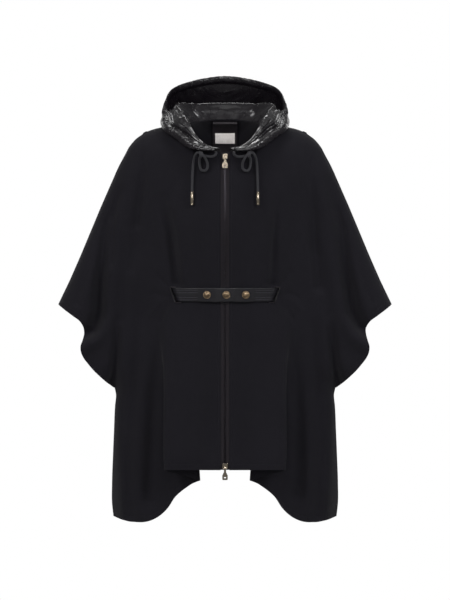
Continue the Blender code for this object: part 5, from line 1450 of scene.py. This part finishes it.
# A snap's cap: how far out from its seat, and the share of its radius.
SNAP_OUTLINE = ((0.0, 0.90), (0.0001, 1.0), (0.0008, 1.0), (0.0011, 0.965), (0.00115, 0.90), (0.0010, 0.84),
                (0.00105, 0.80), (0.0014, 0.74), (0.0019, 0.62), (0.0023, 0.46), (0.00255, 0.28),
                (0.00262, 0.08))
for number in range(3):
    x = TAB_SHIFT + (number - 1) * SNAP_STEP
    reach = np.linspace(-SNAP_RADIUS, SNAP_RADIUS, 5)
    seat = float(np.interp(x + reach, tab_x, tab_y).min()) - BELT_THICK / 2 - GAP
    angles = angles_round(48)
    rings = [np.stack([x + SNAP_RADIUS * share * np.cos(angles), np.full(48, seat - lift),
                       BELT_Z + SNAP_RADIUS * share * np.sin(angles)], -1) for lift, share in SNAP_OUTLINE]
    snap = piece_of(f"snap_cap_{number + 1}", rings, loft_faces(len(rings), 48), bronze)
    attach(snap, "garment")
    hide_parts(f"snap_{number + 1}")

# The bindings: a thin nylon welt on the outer side of each slot, and a bar tack across each of its ends.
WELT_HALF = (0.0015, 0.0010)   # half the welt's width and thickness
TACK_HALF, TACK_RADIUS, TACK_PAST = 0.0062, 0.0009, 0.0026
for side_name, side in (("right", 1), ("left", -1)):
    steps = np.linspace(0.5, -0.5, 24)
    welt_angles = angles_round(12)
    rings, uv = [], []
    for step in steps:
        z = BELT_Z + step * SLOT_HEIGHT
        x = SLOT_X + SLOT_WIDTH / 2 + GAP + (z - BELT_Z) * SLOT_LEAN + 0.0012
        y = float(met(cloth_pieces[side_name], side * (x + 0.001), z, -1.0, 1.0)) - 0.0008
        rings.append(np.stack([side * (x + WELT_HALF[0] * np.cos(welt_angles)),
                               y + WELT_HALF[1] * np.sin(welt_angles), np.full(12, z)], -1))
        uv.append(np.stack([np.full(12, z), WELT_HALF[0] * welt_angles], -1))
    welt = piece_of(f"slot_welt_{side_name}", rings, loft_faces(24, 12), welt_nylon, uv)
    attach(welt, "garment")
    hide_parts(f"slot_binding_{side_name}")

    points, faces = [], []
    for end in (0.5, -0.5):
        z = BELT_Z + end * (SLOT_HEIGHT + TACK_PAST)
        x = SLOT_X + (z - BELT_Z) * SLOT_LEAN + np.linspace(-TACK_HALF, TACK_HALF, 9)
        y = met(cloth_pieces[side_name], side * x, z, -1.0, 1.0) - 0.0006
        rings = tube(np.stack([side * x, y, np.full(9, z)], -1), TACK_RADIUS, 10)[0]
        faces += [tuple(index + len(points) for index in face) for face in loft_faces(9, 10)]
        points += [tuple(point) for point in rings.reshape(-1, 3)]
    tacks = piece_of(f"slot_tacks_{side_name}", points, faces, satin, [(p[0], p[2]) for p in points])
    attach(tacks, "garment")
